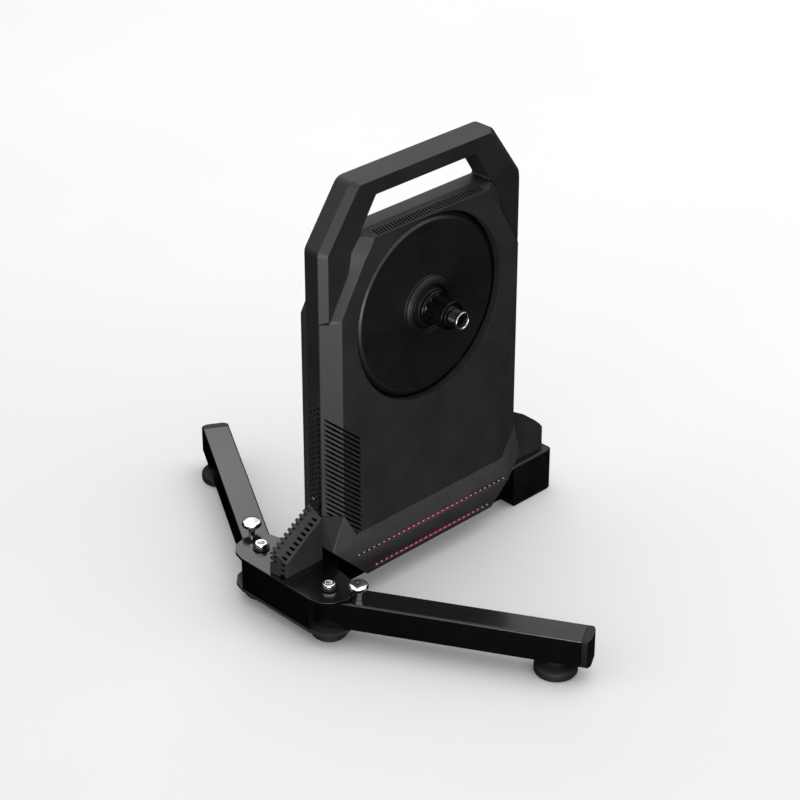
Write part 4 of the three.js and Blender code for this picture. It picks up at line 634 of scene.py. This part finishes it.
def on_leg(side, reach, across):
    """Place in the frame of a point of a leg: the pivot, plus the reach along the leg's direction, plus
    the distance across, which lies to the left of that direction."""
    turn = LEG_ANGLE if side > 0 else math.pi - LEG_ANGLE
    x = side * PIVOT[0] + reach * math.cos(turn) - across * math.sin(turn)
    return x, PIVOT[1] + reach * math.sin(turn) + across * math.cos(turn), 0


print("feet apart", round(on_leg(1, FOOT_REACH, 0)[0] * 2, 1), "mm")

# %% [markdown]
# ## Bolts and pull knobs
#
# The pivot bolt has a bright head with a hexagon socket on a black washer. The knob is one turned pin
# with a mushroom head and a collar. The socket's flats are straight, so its wall stands further out at
# the corners.

# %% Profiles of the bolt and the knob
SOCKET_RADIUS = 4.2    # everything closer to the middle than this belongs to the socket
WASHER_TOP = 63.9      # between the washer and the head
bolt_profile = [(0.4, 15.8), (5.9, 15.8), (5.9, 62), (9.6, 62), (10, 62.4), (10, 63.3), (9.7, 63.6),
                (7.4, 63.6), (7.5, 64.2), (7.5, 68.2), (7.2, 69.1), (6.4, 69.6), (4.6, 69.6), (4.1, 69.3),
                (4.0, 66), (0.4, 65.6)]
knob_profile = [(0.4, 34.3), (3.2, 34.3), (3.7, 34.9), (3.7, 41.2), (5.6, 41.2), (6, 41.7), (6, 43.9),
                (5.6, 44.3), (3.7, 44.4), (3.7, 46), (3.7, 60), (4.4, 67), (5.5, 70.0), (9.6, 70.6),
                (11.2, 71.8), (11.5, 73.4), (11.3, 75.4), (10.2, 77.0), (7.4, 77.9), (3.5, 78.2),
                (0.4, 78.2)]


def hexagon(radius, along, turn):
    """Makes the inner wall a hexagon: the flat's distance over the cosine of the turn from the flat's
    middle."""
    from_middle = (turn % (math.pi / 3)) - math.pi / 6
    return np.where(radius < SOCKET_RADIUS, radius / np.cos(from_middle), radius)


print("bolt corners", len(bolt_profile), "knob corners", len(knob_profile))

# %% [markdown]
# ## Levelling feet
#
# A rubber pad with a rolled rim sits on a threaded stud, and a nut locks the stud. The stud is as fine
# as its thread, which only a close look shows.

# %% Profiles of the pad, the stud and the nut
STUD_RADIUS, STUD_STEP = 5, 0.35
pad_profile = [(5.4, 3), (19, 3), (20, 0), (22.4, 0), (24.4, 0.9), (25, 3), (25, 8.4), (24.2, 10.4),
               (21.6, 11.7), (12, 13.4), (9.4, 15.6), (5.4, 15.6)]
stud_profile = [(0.5, 3.4), (STUD_RADIUS, 3.4), *[(STUD_RADIUS, z) for z in np.arange(4, 44.4, STUD_STEP)],
                (4.4, 45), (0.5, 45)]
nut_profile = [(5.3, 16.9), (8.6, 16.9), (9, 17.3), (9, 19.5), (8.6, 19.9), (5.3, 19.9)]
stud_thread = threaded(pitch=1.5, depth=0.7, start=20.5, end=44, over=4.5)
print("pad corners", len(pad_profile), "stud corners", len(stud_profile))

# %% [markdown]
# Each side now gets its five pieces. The bolt stays with the base, while the knob and the foot move, so
# each rides on a body of its own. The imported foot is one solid: the pad stands for it, and the stud and
# the nut ride along.

# %% Turn the pieces of both sides
for word, side in SIDES:
    pivot = (side * PIVOT[0], PIVOT[1], 0)
    bolt = turned(f"socket_bolt_{word}", bolt_profile, 0.12, pivot, "base", chrome, "Z", 72, hexagon)
    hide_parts(f"pivot_bolt_{word}")
    refinish(bolt, washer_coat, face_middles(bolt)[:, 2] < WASHER_TOP)
    knob = turned(f"pull_knob_{word}", knob_profile, 0.3, on_leg(side, KNOB_REACH, -side * KNOB_SIDE),
                  f"{word}_knob", chrome, "Z", 72)
    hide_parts(f"lock_knob_{word}")
    foot = on_leg(side, FOOT_REACH, 0)
    pad = turned(f"foot_pad_{word}", pad_profile, 0.5, foot, f"{word}_foot", rubber, "Z", 96)
    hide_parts(f"level_foot_{word}")
    turned(f"foot_stud_{word}", stud_profile, 0, foot, f"{word}_foot", steel, "Z", 60, stud_thread)
    turned(f"foot_nut_{word}", nut_profile, 0.2, foot, f"{word}_foot", steel, "Z", 48)
    print(word, "faces of bolt, knob, pad", [len(made.data.polygons) for made in (bolt, knob, pad)])

# %% [markdown]
# ## Pebbles for lamps, dimples and screws
#
# The lamps, the dimples at the slab's ends and two small screw heads are all low rounded pebbles. A
# sphere scaled flat would look like a drop, so the pebble is squared off a little. Many share one mesh,
# because they never move apart.


# %% Rows of pebbles
SQUARED = 0.7          # power that squares the pebble off; 1 would leave an ellipsoid
PEBBLE_SHARP = 60      # degrees past which an edge of a pebble stays sharp


def pebbles(name, centres, halves, material, rings=6, steps=16):
    """Low rounded pebbles, one at each centre. A point is the half size times the squared-off sine and
    cosine of its two angles: each sine and cosine is raised to a power and keeps its sign. The poles
    are single points."""
    tilt = np.linspace(0, math.pi, rings + 1)[1:-1, None]
    turn = np.linspace(0, 2 * math.pi, steps, endpoint=False)[None, :]
    wave = np.stack([np.cos(tilt) + 0 * turn, np.sin(tilt) + 0 * turn, np.cos(turn) + 0 * tilt,
                     np.sin(turn) + 0 * tilt])
    rise, bulge, one, two = np.sign(wave) * np.abs(wave) ** SQUARED
    ring = np.stack([rise, bulge * one, bulge * two], -1).reshape(-1, 3)
    pebble = np.vstack([ring, [(1, 0, 0), (-1, 0, 0)]]) * halves
    i, j = np.meshgrid(np.arange(rings - 2), np.arange(steps), indexing="ij")
    on = (j + 1) % steps
    row, below = i * steps, (i + 1) * steps
    quads = np.stack([row + j, below + j, below + on, row + on], -1).reshape(-1, 4)
    j, on, last = j[0], on[0], (rings - 2) * steps
    top, bottom = np.full(steps, len(pebble) - 2), np.full(steps, len(pebble) - 1)
    caps = np.vstack([np.stack([top, j, on], -1), np.stack([bottom, last + on, last + j], -1)])
    first = np.arange(len(centres))[:, None, None] * len(pebble)
    faces = (quads + first).reshape(-1, 4).tolist() + (caps + first).reshape(-1, 3).tolist()
    points = (np.asarray(centres)[:, None] + pebble).reshape(-1, 3)
    return add_piece(name, points, faces, material, "base", PEBBLE_SHARP)


print("pebbles squared off by the power", SQUARED)

# %% [markdown]
# ## Lamp rows
#
# Two rows of small red status lamps shine from the skirt's channels, through a smoked strip. The glow
# of the strip is strong in the middle of each row and fades to both ends, so its emission follows the
# distance along the bicycle. The lenses are paler than the strip, because each covers a chip.

# %% Smoked strip and lit lenses
GLOW, DIM = (20.0, 0.75), (95.0, 0.04)      # distance from the middle and strength there
window = surface("smoked_red_window", "#1c0a0c", "#280c10", 5, (0.25, 0.35), [(0.5, 0.004)], 0.2,
                 Emission_Color=linear("#a01030"))
lamp = surface("lit_lamp_lens", "#5a4448", "#6a5054", 1, (0.2, 0.3), [(0.4, 0.002)], 0.1,
               Emission_Color=linear("#dcb8bc"), Emission_Strength=0.5)
graph = window.node_tree
where = node(graph, "TexCoord").outputs["Object"]
along = node(graph, "SeparateXYZ", {"Vector": where}).outputs["Y"]
away = node(graph, "Math", {0: along}, operation="ABSOLUTE").outputs[0]
glow = node(graph, "MapRange", {"Value": away, "From Min": GLOW[0] * MM, "From Max": DIM[0] * MM,
                                "To Min": GLOW[1], "To Max": DIM[1]}).outputs[0]
graph.links.new(glow, graph.nodes["Principled BSDF"].inputs["Emission Strength"])
dress(window, "lamp_row_upper", "lamp_row_lower")
print("glow from", GLOW[1], "to", DIM[1])

# %% [markdown]
# The lamps are spread evenly between the ends of each strip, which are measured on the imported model.

# %% Lamps in their strips
LAMP_HALVES, LAMP_INSET = (0.35, 1.5, 0.8), 3.4
for word, count in (("upper", 31), ("lower", 24)):
    low, high = (np.array(corner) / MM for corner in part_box(f"lamp_row_{word}"))
    spread = np.linspace(low[1] + LAMP_INSET, high[1] - LAMP_INSET, count)
    middles = [(high[0], y, (low[2] + high[2]) / 2) for y in spread]
    row = pebbles(f"lamps_{word}", middles, LAMP_HALVES, lamp)
    print(row.name, "lamps", count, "pitch", round(float(spread[1] - spread[0]), 2))

# %% [markdown]
# ## Dimples and screws at the slab's ends
#
# Beside the vents the slab's two narrow ends carry columns of short dark dimples at the pitch of the vents,
# and a small screw near the foot. Each dimple is a flat black pebble in the face, the painted shade of a
# pit, because a real pit this shallow shows only as a dark spot. Every second column is set half a pitch
# higher.

# %% Dimple columns and end screws
DIMPLE_PITCH, DIMPLE_LOW, DIMPLE_HIGH = 6.9, 122, 264
# Each column has its place along the axle, and half the width and half the height of its dimples.
DIMPLE_COLUMNS = ((6.6, 2.5, 1.9), (1.2, 2.0, 1.4), (-3.8, 2.0, 1.4), (-8.4, 1.6, 1.2))
DIMPLE_RISE = 0.12
SCREW_PLACE, SCREW_HALVES = (-5.5, 137), (2.4, 0.7, 2.4)
slab_low, slab_high = (np.array(corner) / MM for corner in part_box("arch_frame"))
# Painted shade of a recess: so dark and dull that it reads as a hole.
pit = surface("dimple_shade", "#020202", "#030303", 5, (0.9, 1.0), [(0.5, 0.004)], 0.2,
              Specular_IOR_Level=0.1)
for word, y in (("rear", slab_low[1]), ("front", slab_high[1])):
    for column, (x, half_x, half_z) in enumerate(DIMPLE_COLUMNS):
        heights = np.arange(DIMPLE_LOW + (column % 2) * DIMPLE_PITCH / 2, DIMPLE_HIGH, DIMPLE_PITCH)
        middles = [(x, y, z) for z in heights]
        pebbles(f"dimples_{word}_{column}", middles, (half_x, DIMPLE_RISE, half_z), pit, rings=4, steps=12)
    middles = [(SCREW_PLACE[0], y, SCREW_PLACE[1])]
    pebbles(f"end_screw_{word}", middles, SCREW_HALVES, steel, rings=8, steps=20)
print("slab ends at", round(slab_low[1], 1), round(slab_high[1], 1))

# %% [markdown]
# ## Camera
#
# The camera was fitted to about ninety points of the photograph. It stands 45.7 degrees round from the
# axle, looks down by 28.6 degrees through a long lens, and is shifted a little, because the photograph
# was cropped.

# %% Camera
AZIMUTH, ELEVATION = math.radians(45.7), math.radians(28.6)
FOCAL, MIDDLE_X, MIDDLE_Y, WIDTH = 2403.3, 397.6, 351.8, 800      # in pixels of the photograph
CAMERA_PLACE = (1.7231, -1.7067, 1.5930)
right = Vector((math.cos(AZIMUTH), math.sin(AZIMUTH), 0))
ahead = Vector((-math.sin(AZIMUTH), math.cos(AZIMUTH), 0))
back = Vector((0, 0, math.sin(ELEVATION))) - ahead * math.cos(ELEVATION)
up = back.cross(right)
camera_data = bpy.data.cameras.new("camera")
camera_data.lens = FOCAL * camera_data.sensor_width / WIDTH
camera_data.shift_x = (WIDTH / 2 - MIDDLE_X) / WIDTH
camera_data.shift_y = (MIDDLE_Y - WIDTH / 2) / WIDTH
camera = bpy.data.objects.new("camera", camera_data)
camera.matrix_world = Matrix(((*right, 0), (*up, 0), (*back, 0), (0, 0, 0, 1))).transposed()
camera.location = CAMERA_PLACE
bpy.context.scene.collection.objects.link(camera)
bpy.context.scene.camera = camera
bpy.context.scene.view_settings.view_transform = "Standard"
print("lens", round(camera_data.lens, 2), "place", [round(v, 3) for v in camera.location])

# %% [markdown]
# ## Floor
#
# The floor is one pale sheet that runs past every view. Only the camera sees it: a bright floor would
# light the black undersides of the legs, which are nearly black in the photograph.

# %% Floor
FLOOR_REACH = 40.0      # metres to each side
corner_signs = np.array([(-1, -1, 0), (1, -1, 0), (1, 1, 0), (-1, 1, 0)])
floor_mesh = bpy.data.meshes.new("floor")
floor_mesh.from_pydata(FLOOR_REACH * corner_signs, [], [(0, 1, 2, 3)])
floor = bpy.data.objects.new("floor", floor_mesh)
bpy.context.scene.collection.objects.link(floor)
# Matt painted board: no grain and no gloss, so that shade lies on it softly.
board = surface("pale_floor", "#d0d0d2", "#d4d4d6", 900, (0.6, 0.7), [], Specular_IOR_Level=0.0)
floor_mesh.materials.append(board)
floor.visible_diffuse = False
floor.visible_glossy = False
print("floor of", 2 * FLOOR_REACH, "m")

# %% [markdown]
# ## Lamps
#
# A broad ceiling lamp stands beyond the object, to the right of the picture, and throws the soft shade
# to the left and towards the camera. Two cards at the back left are what the flat tops of the legs
# mirror. A low panel beside the camera wakes the chamfers that face it, and leaves the floor out, where
# its edge would draw a line.


# %% Area lamps
def area_light(name, place, target, width, height, power):
    """A rectangular lamp at a place, in metres and watts, turned so that it shines on the target."""
    light = bpy.data.lights.new(name, "AREA")
    light.shape = "RECTANGLE"
    light.size, light.size_y, light.energy = width, height, power
    made = bpy.data.objects.new(name, light)
    made.location = place
    made.rotation_euler = (Vector(target) - Vector(place)).to_track_quat("-Z", "Y").to_euler()
    made.visible_camera = False
    bpy.context.scene.collection.objects.link(made)
    return made


area_light("ceiling", (0.35, 1.9, 2.5), (0.0, 0.0, 0.0), 3.4, 3.4, 39)
area_light("back_card", (-2.3, 2.3, 1.7), (-0.2, 0.0, 0.1), 2.6, 1.6, 5.6)
area_light("left_card", (-2.0, 0.8, 2.0), (0, 0, 0.1), 1.4, 1.4, 6.6)
panel = area_light("chamfer_panel", (1.3, -1.3, 0.14), (0, 0, 0.3), 1.3, 0.26, 34)
unlit = bpy.data.collections.new("unlit_by_the_panel")
unlit.objects.link(floor)
panel.light_linking.receiver_collection = unlit
unlit.collection_objects[0].light_linking.link_state = "EXCLUDE"

# %% [markdown]
# ## The tent
#
# The rest is a white tent: a sky whose strength depends on height, one way behind the object and
# another way behind the camera, and which is dark below the horizon. It draws the wide soft shade round
# the foot. Where the lens looks past the floor's far edge it sees a plain pale backdrop instead.

# %% Sky
# Each stop is a height, as the sine of the elevation, and the light that comes from there.
BEHIND = [(0.0, 0.0), (0.25, 0.0), (0.38, 0.78), (0.62, 0.34), (0.85, 2.04), (1.0, 2.04)]
BEFORE = [(0.0, 0.0), (0.03, 0.76), (0.22, 0.8), (0.36, 1.48), (0.62, 1.86), (0.86, 0.6), (1.0, 0.6)]
BRIGHTEST = 2.5         # strength of the sky where a stop's colour is white
SEAM = 0.12             # half width of the blend between the two halves
world = bpy.data.worlds.new("studio")
bpy.context.scene.world = world
world.use_nodes = True
sky = world.node_tree
heading = node(sky, "TexCoord").outputs["Generated"]
height = node(sky, "SeparateXYZ", {"Vector": heading}).outputs["Z"]
halves = []
for levels in (BEFORE, BEHIND):
    ramp = node(sky, "ValToRGB", {"Fac": height})
    while len(ramp.color_ramp.elements) < len(levels):
        ramp.color_ramp.elements.new(0.5)
    for stop, (place, level) in zip(ramp.color_ramp.elements, levels):
        grey = level / BRIGHTEST
        stop.position, stop.color = place, (grey, grey, grey, 1)
    halves.append(ramp.outputs["Color"])
print("stops in each half", len(BEFORE), len(BEHIND))

# %% [markdown]
# The two halves meet in a narrow blend across the camera's line of sight. A ray that comes straight
# from the camera has light of its own, the plain backdrop, and every other ray sees the tent.

# %% Join the halves
lean = node(sky, "VectorMath", {0: heading, 1: ahead}, operation="DOT_PRODUCT").outputs["Value"]
share = node(sky, "MapRange", {"Value": lean, "From Min": -SEAM, "From Max": SEAM}).outputs[0]
both = {0: share, 6: halves[0], 7: halves[1]}
tent = node(sky, "Mix", both, data_type="RGBA").outputs[2]
seen = node(sky, "LightPath").outputs["Is Camera Ray"]
view = node(sky, "Mix", {0: seen, 6: tent, 7: linear("#959596")}, data_type="RGBA").outputs[2]
sky.links.new(view, sky.nodes["Background"].inputs["Color"])
sky.nodes["Background"].inputs["Strength"].default_value = BRIGHTEST
print("sky strength", BRIGHTEST)
